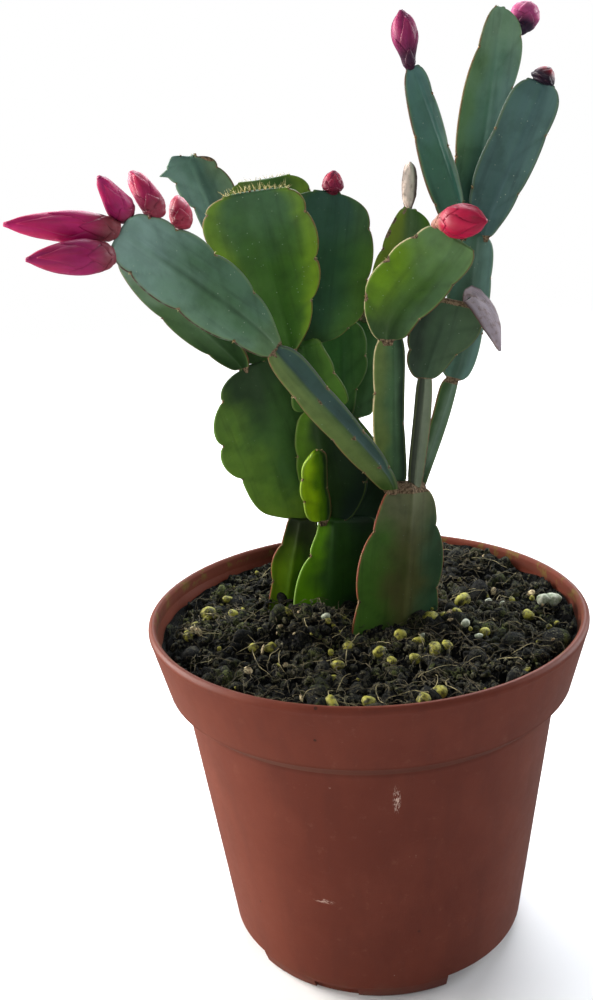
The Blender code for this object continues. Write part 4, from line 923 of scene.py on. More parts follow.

# tones from foot to tip: calyx, petal and the lit end, which is a painted highlight
buds = {
    "c2_long": {"seat": ("top", "c2", -0.3, -0.4), "tip": (-70.6, -54.0, 205.9), "radius": 3.4, "foot": 0.7,
                "root": 0.7, "profile": (0.66, 0.76, 0.88, 1.0, 0.97, 0.82, 0.56, 0.14),
                "tones": ((122, 58, 64), (176, 24, 96), (184, 26, 90))},
    "c2_low": {"seat": ("margin", "c2", -1, 0.985, 1.6), "tip": (-65.4, -59.0, 199.0), "radius": 3.8,
               "foot": 0.6, "root": 0.4, "profile": (0.56, 0.72, 0.88, 1.0, 0.97, 0.80, 0.52, 0.12),
               "tones": ((120, 56, 66), (146, 22, 84), (170, 28, 78))},
    "c2_middle": {"seat": ("top", "c2", 4.0, -1.8), "tip": (-50.6, -51.0, 214.0), "radius": 2.8, "foot": 0.74,
                  "profile": (0.90, 1.04, 1.08, 1.0, 0.86, 0.72, 0.56, 0.20),
                  "tones": ((120, 34, 62), (146, 22, 84), (170, 24, 84))},
    "c2_high": {"seat": ("margin", "c2", 1, 0.90, -0.7), "tip": (-46.2, -39.0, 214.5), "radius": 2.7,
                "foot": 0.6, "root": 1.1, "profile": (0.80, 0.92, 1.0, 1.0, 0.98, 0.92, 0.74, 0.24),
                "tones": ((132, 50, 66), (156, 26, 78), (204, 44, 84))},
    "c2_short": {"seat": ("margin", "c2", 1, 0.78, 0.0), "tip": (-37.3, -36.0, 208.8), "radius": 2.5,
                 "foot": 0.56, "root": 0.5, "profile": (0.78, 0.88, 0.98, 1.04, 1.0, 0.88, 0.66, 0.24),
                 "tones": ((140, 44, 62), (158, 32, 66), (196, 56, 86))},
    "b5": {"seat": ("top", "b5", 0.6, 0.0), "tip": (-3.6, 9.2, 211.6), "radius": 2.8, "foot": 0.6,
           "profile": (0.70, 0.86, 0.98, 1.0, 0.94, 0.80, 0.56, 0.14),
           "tones": ((92, 18, 42), (116, 18, 54), (170, 40, 66))},
    "c4": {"seat": ("top", "c4", -6.2, 0.8), "tip": (31.6, -17.0, 198.9), "radius": 4.2, "foot": 0.3,
           "profile": (0.3, 0.42, 0.66, 0.92, 1.0, 0.93, 0.68, 0.12),
           "blush": (0.14, 0.36), "tones": ((146, 104, 90), (146, 8, 50), (174, 16, 62))},
    "f2": {"seat": ("top", "f2", 0.0, 0.0), "tip": (13.9, 2.2, 247.2), "radius": 3.1, "foot": 0.3,
           "profile": (0.40, 0.50, 0.58, 0.80, 1.04, 1.06, 0.80, 0.16), "blush": (0.30, 0.58),
           "tones": ((56, 24, 48), (112, 22, 72), (150, 38, 90))},
    "f3": {"seat": ("margin", "f3", 1, 0.93, -1.0), "tip": (46.6, 26.8, 249.5), "radius": 3.8, "foot": 0.42,
           "profile": (0.42, 0.56, 0.80, 1.0, 1.04, 0.98, 0.78, 0.14),
           "tones": ((40, 20, 44), (160, 62, 112), (190, 84, 124))},
    "f4": {"seat": ("top", "f4", 0.0, 0.0), "tip": (49.6, 6.0, 232.6), "radius": 2.8, "foot": 0.42,
           "root": 0.5, "profile": (0.86, 1.04, 1.08, 1.04, 0.94, 0.80, 0.60, 0.18), "blush": (0.3, 0.7),
           "tones": ((30, 18, 34), (84, 14, 34), (176, 28, 46))},
    "e3_dried": {"seat": ("top", "e3", 0.0, 0.0), "tip": (1.0, 37.0, 176.5), "radius": 2.9, "foot": 0.42,
                 "tones": ((54, 61, 38), (54, 61, 38), (98, 84, 60)), "dried": True},
}


def shellFaces(first, rows, columns):
    # faces of a thin closed shell: a front grid of points, then the same grid as its back
    across = columns + 1
    back = first + (rows + 1) * across
    faces = []
    for row in range(rows):
        for column in range(columns):
            a = first + row * across + column
            b, c, d = a + 1, a + across + 1, a + across
            faces.append((a, b, c, d))
            faces.append(tuple(k - first + back for k in (a, d, c, b)))
    border = [(0, i) for i in range(across)] + [(row, columns) for row in range(1, rows + 1)]
    border += [(rows, i) for i in range(columns - 1, -1, -1)] + [(row, 0) for row in range(rows - 1, 0, -1)]
    loop = [first + row * across + column for row, column in border]
    for a, b in zip(loop, loop[1:] + loop[:1]):
        faces.append((b, a, a - first + back, b - first + back))
    return faces


def budMesh(name, bud):
    look = budLook
    base, start = seatOf(bud["seat"])
    tip = Vector(bud["tip"])
    foot, radius = bud["foot"], bud["radius"]
    ahead = (start + (tip - base).normalized()).normalized()
    lean = math.sqrt(1.0 - ahead.dot(start) ** 2)
    spine = Spine(base + start * (foot * radius * lean), ahead, tip, 0.0, look["rise"], 0.0)
    swell = max(foot, look["leastFoot"])
    profile = bud.get("profile", (swell, swell * 0.9 + 0.1, swell * 0.35 + 0.62, 1.0, 0.97, 0.8, 0.52, 0.10))
    calyx, body, lit = (shade(*tone) for tone in bud["tones"])
    points, vertexTones, vertexMap = [], [], []

    def addPoint(u, angle, lift, tone, across, root=0.0):
        centre, direction, side, normal = spine.frame(stationOf(min(max(u, 0.0), 1.0)))
        centre = centre - direction * root
        reach = radius * smoothValue(profile, min(max(u, 0.0), 1.0)) * (look["core"] + lift)
        east, north = math.cos(angle), math.sin(angle)
        wobble = 1 + look["wobble"] * noise.noise(Vector((3 * east, 3 * north, 5 * u + radius)))
        points.append(centre + side * (reach * wobble * east) + normal * (reach * wobble * north))
        vertexTones.append(tone)
        vertexMap.append((across, u * spine.length, angle))

    sides, rows = look["sides"], look["rows"]
    for row in range(-look["rootRows"], rows + 1):
        u = max(0, row) / rows
        depth = max(0, -row) / look["rootRows"]
        lift = 0.9 * (math.sqrt(1 - 0.9 * depth * depth) - 1)
        tone = blendTone(calyx, body, ease(0.1, 0.5, u))
        for corner in range(sides):
            root = depth * bud.get("root", look["root"] + foot * radius * lean)
            addPoint(u, 2 * math.pi * corner / sides, lift, tone, corner * 0.6, root)
    rows += look["rootRows"]
    faces = bandFaces(0, rows, sides)
    faces.append(tuple(reversed(range(sides))))
    faces.append(tuple(rows * sides + i for i in range(sides)))
    for begin, end, number, halfAngle, lift, turn in look["layers"]:
        for k in range(number):
            middle = math.radians(turn + 360 * k / number + 9 * noise.noise(Vector((k, turn, radius))))
            reachEnd = end * (1 - 0.07 * (k % 2)) if end < 1 else 1.0
            first = len(points)
            for inner in (0, 1):
                for row in range(look["petalRows"] + 1):
                    b = row / look["petalRows"]
                    u = begin + (reachEnd - begin) * b
                    spread = 0.62 + 0.38 * math.sin(math.pi * min(1.0, b * 1.25))
                    spread = spread * (1 - b ** 2.6) ** 0.8 + 0.02
                    for column in range(look["petalColumns"] + 1):
                        a = 2 * column / look["petalColumns"] - 1
                        keel = look["keel"] * math.exp(-(a / look["keelWidth"]) ** 2) * (1 - b)
                        rise = (lift * (1 - 0.25 * b) + keel) * ease(0.0, 0.55, b) - look["edgeDrop"] * a * a
                        rise -= inner * look["petalThickness"] / radius
                        blush = u + 0.10 * noise.noise(Vector((k, 4 * a, turn)))
                        tone = blendTone(calyx, body, ease(*bud.get("blush", look["blush"]), blush))
                        # painted highlight: the petals blend towards the lit tone near the tip
                        tone = blendTone(tone, lit, ease(0.5, 0.95, u) * (1 - 0.4 * abs(a)))
                        edge = look["edgeShare"] * ease(0.6, 1.0, abs(a)) * (1 - ease(0.7, 0.97, u))
                        tone = blendTone(tone, shade(*look["edgeTone"]), edge)
                        addPoint(u, middle + math.radians(halfAngle) * spread * a, rise, tone, 3 * a)
            faces += shellFaces(first, look["petalRows"], look["petalColumns"])
    return grownMesh(name, points, faces, vertexTones, vertexMap)


def growBuds(petal, papery):
    for key, bud in buds.items():
        dried = bud.get("dried", False)
        piece = objectOf("petals_" + key, budMesh("petals_" + key, bud), papery if dried else petal)
        finishPiece(piece, "dried_petal" if dried else "bud_petal", "bud_" + key)
    print("buds:", len(buds))


# Dried flowers: limp papery petals on the line of the solid

driedLook = {"rows": 30, "columns": 12, "thickness": 0.16, "crumple": 0.40}

driedFlowers = {
    "c5": {"seat": ("top", "c5", 0.3, 0.0), "tip": (15.8, 11.5, 212.6), "facing": 10, "rise": 0.2, "bow": 0.8,
           "widths": (0.6, 1.1, 1.8, 1.9, 1.3, 0.08), "cup": -1.0, "tone": "papery", "browning": (0.30, 0.75),
           "petals": ((0.0, 1.0, 0.0, 1.0), (0.45, 0.42, -0.5, 0.86))},
    "d1": {"seat": ("top", "d1", 4.8, 0.3), "tip": (36.2, -6.0, 166.2), "facing": 25, "rise": 0.35,
           "bow": 3.0, "widths": (0.4, 0.9, 3.3, 3.1, 1.1, 0.12), "cup": -0.35, "tone": "mauve",
           "browning": (0.72, 1.0), "petals": ((0.0, 1.0, 0.0, 1.0), (-0.5, 0.4, -0.4, 0.62))},
}


def driedMesh(name, flower):
    look = driedLook
    base, start = seatOf(flower["seat"])
    spine = Spine(base, start, Vector(flower["tip"]), flower["facing"], flower["rise"], flower["bow"])
    draw = random.Random(name)
    points, faces, vertexTones, vertexMap = [], [], [], []
    for k, (lane, share, depth, end) in enumerate(flower["petals"]):
        twist = draw.uniform(-0.25, 0.25)
        seed = Vector((draw.uniform(0, 50), k * 7.0, 0.0))
        first = len(points)
        for inner in (0, 1):
            for row in range(look["rows"] + 1):
                b = row / look["rows"]
                t = stationOf(min(b * end, 0.999))
                point, ahead, side, normal = spine.frame(t)
                width = smoothValue(flower["widths"], t)
                own = width * share + 0.05
                for column in range(look["columns"] + 1):
                    a = 2 * column / look["columns"] - 1
                    fold = look["crumple"] * noise.noise(seed + Vector((a * 1.4, b * 4.5, 0.0)))
                    fold *= ease(0, 0.2, b)
                    fine = 0.22 * noise.noise(seed + Vector((a * 4.0, b * 14.0, 3.0)))
                    roll = math.cos(twist * b * 1.5)
                    across = lane * width * ease(0.0, 0.25, b) * (1 - b) + a * own * roll
                    out = flower["cup"] * (across / max(width, 0.6)) ** 2 + depth * ease(0.0, 0.3, b)
                    out = out + fold + fine
                    out += a * own * math.sin(twist * b * 1.5) - inner * look["thickness"]
                    points.append(point + side * across + normal * out)
                    edge = ease(*flower["browning"], a) + ease(0.85, 1.0, -a) * 0.7
                    edge += 0.6 * (1 - ease(0.0, 0.2, b))
                    vertexTones.append(blendTone(tones[flower["tone"]], tones["umber"], edge))
                    vertexMap.append((across * 2, b * spine.length, k * 4.0))
        faces += shellFaces(first, look["rows"], look["columns"])
    return grownMesh(name, points, faces, vertexTones, vertexMap)


def growDried(papery):
    for key, flower in driedFlowers.items():
        piece = objectOf("dried_petals_" + key, driedMesh("dried_petals_" + key, flower), papery)
        finishPiece(piece, "dried_petal", "dried_flower_" + key)
    print("dried flowers:", len(driedFlowers))


# Geometry Nodes

def newTree(name, inputs):
    # inputs: socket name to its type; the first is the geometry that the modifier passes in
    tree = bpy.data.node_groups.new(name, "GeometryNodeTree")
    tree.interface.new_socket(name="Geometry", in_out="OUTPUT", socket_type="NodeSocketGeometry")
    for label, kind in inputs.items():
        tree.interface.new_socket(name=label, in_out="INPUT", socket_type="NodeSocket" + kind)
    graph = Graph(tree)
    given = graph.node("NodeGroupInput")
    return graph, given


def closeTree(graph, shape, material):
    real = graph.node("GeometryNodeRealizeInstances", None, {0: shape})
    smooth = graph.node("GeometryNodeSetShadeSmooth", None, {0: real})
    dressed = graph.node("GeometryNodeSetMaterial", None, {"Geometry": smooth, "Material": material})
    exitNode = graph.tree.nodes.new("NodeGroupOutput")
    graph.tree.links.new(dressed.socket, exitNode.inputs[0])
    return graph.tree


def randomVector(graph, low, high, seed):
    values = {0: low, 1: high, "Seed": seed}
    return graph.node("FunctionNodeRandomValue", {"data_type": "FLOAT_VECTOR"}, values, output=0)


def randomFloat(graph, low, high, seed):
    values = {2: low, 3: high, "Seed": seed}
    return graph.node("FunctionNodeRandomValue", {"data_type": "FLOAT"}, values, output=1)


def lumpy(graph, shape, size, amount):
    # pushes a surface in and out along its normals by noise
    place = graph.node("GeometryNodeInputPosition")
    normal = graph.node("GeometryNodeInputNormal")
    values = {"Vector": place, "Scale": size, "Detail": 2.0}
    push = (graph.node("ShaderNodeTexNoise", None, values, output="Fac") - 0.5) * amount
    offset = graph.vector("SCALE", {0: normal, "Scale": push})
    return graph.node("GeometryNodeSetPosition", None, {"Geometry": shape, "Offset": offset})


def strewTree():
    # strews a shape over a bed: Density is per square metre, sizes in metres
    inputs = {"Geometry": "Geometry", "Density": "Float", "Seed": "Int", "Smallest": "Float",
              "Largest": "Float", "Flatness": "Float", "Detail": "Int", "Sink": "Float", "Lump": "Float",
              "Lump scale": "Float", "Material": "Material"}
    graph, given = newTree("strewShapes", inputs)
    values = {"Mesh": given, "Density": given.out("Density"), "Seed": given.out("Seed")}
    spots = graph.node("GeometryNodeDistributePointsOnFaces", None, values)
    ball = graph.node("GeometryNodeMeshIcoSphere", None, {"Radius": 1.0, "Subdivisions": given.out("Detail")})
    turn = randomVector(graph, (0.0, 0.0, 0.0), (6.28, 6.28, 6.28), given.out("Seed") + 1)
    size = randomFloat(graph, 0.0, 1.0, given.out("Seed") + 2) ** 2.8
    size = given.out("Smallest") + size * (given.out("Largest") - given.out("Smallest"))
    stretch = randomVector(graph, (0.75, 0.7, 0.55), (1.2, 1.0, 0.95), given.out("Seed") + 3)
    form = graph.joined({0: 1.0, 1: 1.0, 2: given.out("Flatness")})
    form = graph.vector("MULTIPLY", {0: stretch, 1: form})
    scale = graph.vector("SCALE", {0: form, "Scale": size})
    values = {"Points": spots, "Instance": ball, "Rotation": turn, "Scale": scale}
    placed = graph.node("GeometryNodeInstanceOnPoints", None, values)
    drop = graph.joined({2: 0 - given.out("Sink")})
    placed = graph.node("GeometryNodeTranslateInstances", None, {"Instances": placed, "Translation": drop,
                                                                 "Local Space": False})
    real = graph.node("GeometryNodeRealizeInstances", None, {0: placed})
    rough = lumpy(graph, real, given.out("Lump scale"), given.out("Lump"))
    return closeTree(graph, rough, given.out("Material"))


def plantTree():
    # stands a shape on each point, along its "lean", at its "size"
    graph, given = newTree("plantShapes", {"Geometry": "Geometry", "Shape": "Object", "Seed": "Int",
                                           "Lump": "Float", "Lump scale": "Float", "Material": "Material"})
    lean = graph.node("GeometryNodeInputNamedAttribute", {"data_type": "FLOAT_VECTOR"}, {"Name": "lean"})
    size = graph.node("GeometryNodeInputNamedAttribute", {"data_type": "FLOAT_VECTOR"}, {"Name": "size"})
    spin = randomFloat(graph, 0.0, 6.28, given.out("Seed"))
    twist = graph.joined({2: spin})
    turned = graph.node("FunctionNodeAlignRotationToVector", {"axis": "Z"}, {"Vector": lean})
    turned = graph.node("FunctionNodeRotateRotation", {"rotation_space": "LOCAL"}, {0: turned, 1: twist})
    shape = graph.node("GeometryNodeObjectInfo", None, {"Object": given.out("Shape")}, output="Geometry")
    values = {"Points": given, "Instance": shape, "Rotation": turned, "Scale": size}
    placed = graph.node("GeometryNodeInstanceOnPoints", None, values)
    real = graph.node("GeometryNodeRealizeInstances", None, {0: placed})
    rough = lumpy(graph, real, given.out("Lump scale"), given.out("Lump"))
    return closeTree(graph, rough, given.out("Material"))


def fibreTree():
    # lays bent threads over a bed
    inputs = {"Geometry": "Geometry", "Density": "Float", "Seed": "Int", "Length": "Float", "Radius": "Float",
              "Bend": "Float", "Tilt": "Float", "Lift": "Float", "Sides": "Int", "Material": "Material"}
    graph, given = newTree("layFibres", inputs)
    values = {"Mesh": given, "Density": given.out("Density"), "Seed": given.out("Seed")}
    spots = graph.node("GeometryNodeDistributePointsOnFaces", None, values)
    half = given.out("Length") * 0.5
    left = graph.joined({0: 0 - half})
    right = graph.joined({0: half})
    peak = graph.joined({1: given.out("Length") * 0.22, 2: given.out("Lift")})
    values = {"Resolution": 9, "Start": left, "Middle": peak, "End": right}
    thread = graph.node("GeometryNodeCurveQuadraticBezier", None, values)
    tilt = graph.joined({0: given.out("Tilt"), 1: given.out("Tilt"), 2: 6.28})
    low = graph.vector("SCALE", {0: tilt, "Scale": -1.0})
    turn = randomVector(graph, low, tilt, given.out("Seed") + 1)
    size = randomFloat(graph, 0.3, 1.0, given.out("Seed") + 2)
    values = {"Points": spots, "Instance": thread, "Rotation": turn, "Scale": size}
    placed = graph.node("GeometryNodeInstanceOnPoints", None, values)
    real = graph.node("GeometryNodeRealizeInstances", None, {0: placed})
    place = graph.node("GeometryNodeInputPosition")
    values = {"Vector": place, "Scale": 210.0, "Detail": 2.0}
    wander = graph.node("ShaderNodeTexNoise", None, values, output="Color")
    wander = graph.vector("SUBTRACT", {0: wander, 1: (0.5, 0.5, 0.5)})
    wander = graph.vector("SCALE", {0: wander, "Scale": given.out("Bend")})
    bent = graph.node("GeometryNodeSetPosition", None, {"Geometry": real, "Offset": wander})
    values = {"Resolution": given.out("Sides"), "Radius": given.out("Radius")}
    section = graph.node("GeometryNodeCurvePrimitiveCircle", {"mode": "RADIUS"}, values)
    values = {"Curve": bent, "Profile Curve": section, "Fill Caps": True}
    tube = graph.node("GeometryNodeCurveToMesh", None, values)
    return closeTree(graph, tube, given.out("Material"))


def turnTree():
    # turns an outline, given as a chain of edges in the XZ plane, round the Z axis
    graph, given = newTree("turnOutline", {"Geometry": "Geometry", "Sides": "Int", "Corner": "Float",
                                           "Corner steps": "Int", "Material": "Material"})
    chain = graph.node("GeometryNodeMeshToCurve", None, {0: given})
    values = {"Curve": chain, "Radius": given.out("Corner"), "Count": given.out("Corner steps"),
              "Limit Radius": True}
    eased = graph.node("GeometryNodeFilletCurve", {"mode": "POLY"}, values)
    line = graph.node("GeometryNodeCurveToMesh", None, {"Curve": eased})
    count = graph.node("GeometryNodeAttributeDomainSize", {"component": "MESH"}, {0: line}, "Point Count")
    values = {"Vertices X": given.out("Sides") + 1, "Vertices Y": count}
    sheet = graph.node("GeometryNodeMeshGrid", None, values)
    index = graph.node("GeometryNodeInputIndex")
    column = graph.node("ShaderNodeMath", {"operation": "FLOOR"}, {0: (index + 0.5) / count})
    row = index - column * count
    place = graph.node("GeometryNodeInputPosition")
    values = {"Geometry": line, "Value": place, "Index": row}
    spot = graph.node("GeometryNodeSampleIndex", {"data_type": "FLOAT_VECTOR", "domain": "POINT"}, values)
    angle = column / given.out("Sides") * (2 * math.pi)
    values = {"Vector": spot, "Angle": angle}
    turned = graph.node("ShaderNodeVectorRotate", {"rotation_type": "Z_AXIS"}, values)
    shaped = graph.node("GeometryNodeSetPosition", None, {"Geometry": sheet, "Position": turned})
    welded = graph.node("GeometryNodeMergeByDistance", None, {"Geometry": shaped, "Distance": 0.004 * mm})
    return closeTree(graph, welded, given.out("Material"))


def evaluatedMesh(host):
    # what the modifiers make of an object, as a plain mesh; the modifiers go
    depsgraph = bpy.context.evaluated_depsgraph_get()
    made = bpy.data.meshes.new_from_object(host.evaluated_get(depsgraph), depsgraph=depsgraph)
    host.modifiers.clear()
    return made


def runTree(name, host, tree, settings):
    # sets the modifier's inputs, and returns what it makes as a plain mesh
    modifier = host.modifiers.new("build", "NODES")
    modifier.node_group = tree
    for item in tree.interface.items_tree:
        if item.in_out == "INPUT" and item.name in settings:
            modifier[item.identifier] = settings[item.name]
    made = evaluatedMesh(host)
    made.name = name
    return made


def discard(piece):
    bpy.data.objects.remove(piece, do_unlink=True)


def growOn(name, host, tree, settings, slotName):
    # makes a piece with a tree on a helper object, which goes afterwards
    mesh = runTree(name, host, tree, settings)
    discard(host)
    finishPiece(objectOf(name, mesh), slotName)
    print(name, len(mesh.polygons), "faces")


# Pot

potSize = {
    "height": 96.5, "rimRadius": 60.0, "collarRadius": 55.7, "collarBottom": 78.1, "wallTopRadius": 51.5,
    "wallTop": 74.3, "wallFootRadius": 42.1, "footRadius": 40.8, "footBevel": 3.8, "wall": 1.4,
    "lipRadius": 59.2, "lipBottom": 92.4, "rimRound": 0.8, "floor": 2.0, "footRingTop": 6.2,
    "footRingRadius": 33.0, "pocketHeight": 4.2, "pocketArc": 45.0, "pocketDepth": 5.5,
    "pocketAzimuths": (48.0, 168.0, 288.0), "notchAzimuths": (-17.0, 103.0, 223.0), "notchArc": 17.0,
    "notchDepth": 0.8, "drainWidth": 8.0, "drainBottom": 1.2, "drainTop": 3.4,
    "sides": 288, "corner": 0.9, "cornerSteps": 4, "sharpAngle": 28,
}


def wallRadius(height):
    size = potSize
    part = (height - size["footBevel"]) / (size["wallTop"] - size["footBevel"])
    return size["wallFootRadius"] + (size["wallTopRadius"] - size["wallFootRadius"]) * part


def collarRadius(height):
    size = potSize
    part = (height - size["collarBottom"]) / (size["lipBottom"] - size["collarBottom"])
    return size["collarRadius"] + (size["lipRadius"] - size["collarRadius"]) * part


def innerOutline(shrink=0.0):
    size = potSize
    wall = size["wall"]
    return [
        (size["collarRadius"] - wall - shrink, size["collarBottom"] + wall / 2 + shrink),
        (size["wallTopRadius"] - wall - shrink, size["wallTop"] + shrink),
        (wallRadius(size["footRingTop"]) - wall - shrink, size["footRingTop"] + shrink),
        (size["footRingRadius"] - shrink, size["footRingTop"] + shrink),
        (size["footRingRadius"] - shrink, size["floor"] + shrink),
        (0.0, size["floor"] + shrink),
    ]


def potOutline():
    size = potSize
    rim = size["rimRound"]
    return [
        (0.0, 0.0),
        (size["footRadius"], 0.0),
        (size["wallFootRadius"], size["footBevel"]),
        (size["wallTopRadius"], size["wallTop"]),
        (size["collarRadius"], size["collarBottom"]),
        (size["rimRadius"] - 0.25, size["height"] - 3 * rim),
        (size["rimRadius"], size["height"] - 2 * rim),
        (size["rimRadius"], size["height"] - rim),
        (size["rimRadius"] - rim, size["height"]),
        (size["rimRadius"] - 2 * rim, size["height"]),
        (size["lipRadius"] - size["wall"], size["height"] - rim),
        (size["lipRadius"] - size["wall"], size["lipBottom"]),
    ] + innerOutline()


def arcBlocks(name, azimuths, arc, inner, outer, bottom, top, steps):
    # a cutter: blocks bent round the pot's axis, one for each azimuth
    points, faces = [], []
    for azimuth in azimuths:
        first = len(points)
        for step in range(steps + 1):
            angle = math.radians(azimuth - arc / 2 + arc * step / steps)
            for radius, height in ((inner, bottom), (outer, bottom), (outer, top), (inner, top)):
                points.append((radius * math.sin(angle), -radius * math.cos(angle), height))
        faces += bandFaces(first, steps, 4)
        end = first + steps * 4
        faces.append((first + 3, first + 2, first + 1, first))
        faces.append((end, end + 1, end + 2, end + 3))
    mesh = meshOf(name, points, faces)
    faceOutwards(mesh)
    return objectOf(name, mesh)


def makePot(turning, plastic):
    size = potSize
    outline = potOutline()
    chain = bpy.data.meshes.new("potOutline")
    chain.from_pydata([(radius * mm, 0.0, height * mm) for radius, height in outline],
                      [(i, i + 1) for i in range(len(outline) - 1)], [])
    host = objectOf("potOutline", chain)
    settings = {"Sides": size["sides"], "Corner": size["corner"] * mm, "Corner steps": size["cornerSteps"],
                "Material": plastic}
    mesh = runTree("nursery_pot", host, turning, settings)
    discard(host)
    faceOutwards(mesh)
    pot = objectOf("nursery_pot", mesh)
    foot = size["footRadius"]
    drainArc = math.degrees(size["drainWidth"] / size["footRingRadius"])
    cutters = [
        arcBlocks("pocketCutter", size["pocketAzimuths"], size["pocketArc"], foot - size["pocketDepth"],
                  size["rimRadius"], -size["pocketHeight"], size["pocketHeight"], 27),
        arcBlocks("notchCutter", size["notchAzimuths"], size["notchArc"], foot - size["notchDepth"],
                  size["rimRadius"], -size["pocketHeight"], size["footBevel"] * 0.7, 15),
        arcBlocks("drainCutter", size["pocketAzimuths"], drainArc, size["footRingRadius"] - 2.0,
                  foot - size["pocketDepth"] + 1.0, size["drainBottom"], size["drainTop"], 6),
    ]
    for cutter in cutters:
        boolean = pot.modifiers.new(cutter.name, "BOOLEAN")
        boolean.operation = "DIFFERENCE"
        boolean.solver = "EXACT"
        boolean.object = cutter
    cutMesh = evaluatedMesh(pot)
    pot.data = cutMesh
    for cutter in cutters:
        discard(cutter)
    cutMesh.materials.clear()
    cutMesh.materials.append(plastic)
    cutMesh.polygons.foreach_set("material_index", [0] * len(cutMesh.polygons))
    cutMesh.shade_smooth()
    cutMesh.set_sharp_from_angle(angle=math.radians(size["sharpAngle"]))
    finishPiece(pot, "pot_plastic", "pot")
    print("pot:", len(cutMesh.polygons), "faces")


# Soil and what lies on it

soilLook = {
    "level": 90.4, "tiltX": 0.022, "tiltY": 0.020, "bank": 1.2,
    # x, y, radius and height of the larger clods
    "clods": ((-17.0, -3.5, 11.5, 5.0), (-40.0, -6.0, 12.0, 2.2), (24.0, -7.0, 8.0, 1.6),
              (27.0, 37.0, 15.0, 2.8)),
    "lumpHeight": 1.4, "lumpSize": 7.0,
    "chunks": ((8.0, 2.6, 1.9), (3.3, 1.4, 1.1), (1.35, 0.7, 0.5)),   # size, height and depth of the cracks
    "rings": 140, "sectors": 400, "seed": 5,
    "wallClear": 0.5, "shellClear": 0.4, "highest": 95.8, "rimRelief": -0.8,
    "bedStep": 2.0,         # spacing of the sheet on which the loose bits are strewn
}


def soilHeight(x, y):
    look = soilLook
    radius = math.hypot(x, y)
    clod = 0.0
    for clodX, clodY, clodRadius, clodHeight in look["clods"]:
        gap = math.hypot(x - clodX, y - clodY) + 2.5 * noise.noise(Vector((x, y, 5.0)) / 4.0)
        clod += clodHeight * (1 - ease(0.60 * clodRadius, 1.08 * clodRadius, gap))
    bank = look["bank"] * (radius / potSize["collarRadius"]) ** 4
    lump = look["lumpHeight"] * noise.noise(Vector((x, y, 0.0)) / look["lumpSize"])
    return look["level"] + look["tiltX"] * x + look["tiltY"] * y + bank + clod + lump


def crumbRelief(x, y):
    # chunks of three sizes, each with its own height and cracks round it
    place = Vector((x, y, 1.7))
    bend = noise.noise_vector(place / 2.3) * 0.9
    relief = 0.5 * noise.fractal(place / 1.3, 0.8, 2.1, 4)
    for size, height, depth in soilLook["chunks"]:
        gaps, spots = noise.voronoi((place + bend) / size)
        own = noise.noise(spots[0] * 3.7)
        relief += height * (own + 0.40 - gaps[0]) - depth * (1 - ease(0.0, 0.3, gaps[1] - gaps[0]))
    return relief


def makeSoil(peat):
    look = soilLook
    noise.seed_set(look["seed"])  # without it, noise_vector takes its seed from the clock
    rings, sectors = look["rings"], look["sectors"]
    points = [(0.0, 0.0, soilHeight(0.0, 0.0))]
    reliefs = [0.5]
    edge = collarRadius(look["level"]) - potSize["wall"] - look["wallClear"]
    for ring in range(1, rings + 1):
        for step in range(sectors):
            angle = 2 * math.pi * (step + 0.5 * (ring % 2)) / sectors
            radius = edge * ring / rings
            x, y = radius * math.cos(angle), radius * math.sin(angle)
            relief = crumbRelief(x, y) if ring < rings else look["rimRelief"]
            points.append((x, y, min(soilHeight(x, y) + relief, look["highest"])))
            reliefs.append(0.5 + relief / 5)
    turn = 0.5 * (rings % 2)
    below = innerOutline(shrink=look["shellClear"])
    for radius, height in below[:-1]:
        for step in range(sectors):
            angle = 2 * math.pi * (step + turn) / sectors
            points.append((radius * math.cos(angle), radius * math.sin(angle), height))
    points.append((0.0, 0.0, below[-1][1]))
    faces = []
    total = rings + len(below) - 1
    last = len(points) - 1
    for step in range(sectors):
        following = (step + 1) % sectors
        faces.append((0, 1 + step, 1 + following))
        for ring in range(total - 1):
            low = 1 + ring * sectors
            high = low + sectors
            a, b, c, d = low + step, low + following, high + following, high + step
            if ring % 2 == 0 or ring >= rings - 1:
                faces += [(a, d, b), (b, d, c)]
            else:
                faces += [(a, c, b), (a, d, c)]
        bottom = 1 + (total - 1) * sectors
        faces.append((last, bottom + following, bottom + step))
    mesh = meshOf("peat_bed", points, faces)
    reliefs += [0.3] * (len(points) - len(reliefs))
    layer = mesh.attributes.new("relief", "FLOAT", "POINT")
    layer.data.foreach_set("value", reliefs)
    faceOutwards(mesh)
    mesh.shade_smooth()
    soil = objectOf("peat_bed", mesh, peat)
    finishPiece(soil, "peat", "soil")
    print("soil:", len(mesh.polygons), "faces")


def makeBed(radius, lift):
    # a plain sheet over the soil, on which the loose bits are strewn; it is removed afterwards
    step = soilLook["bedStep"]
    count = int(radius / step)
    points, index, faces = [], {}, []
    for i in range(-count, count + 1):
        for j in range(-count, count + 1):
            x, y = i * step, j * step
            if math.hypot(x, y) <= radius:
                index[i, j] = len(points)
                points.append((x, y, soilHeight(x, y) + lift))
    for i, j in index:
        corners = [(i, j), (i + 1, j), (i + 1, j + 1), (i, j + 1)]
        if all(corner in index for corner in corners):
            faces.append(tuple(index[corner] for corner in corners))
    return objectOf("bed", meshOf("bed", points, faces))


# What is strewn: a bed's radius and lift, a material, and the inputs of strewTree or fibreTree.
# Density is per square metre, Lump scale per metre.
inMillimetres = ("Smallest", "Largest", "Sink", "Lump", "Length", "Radius", "Bend", "Lift")

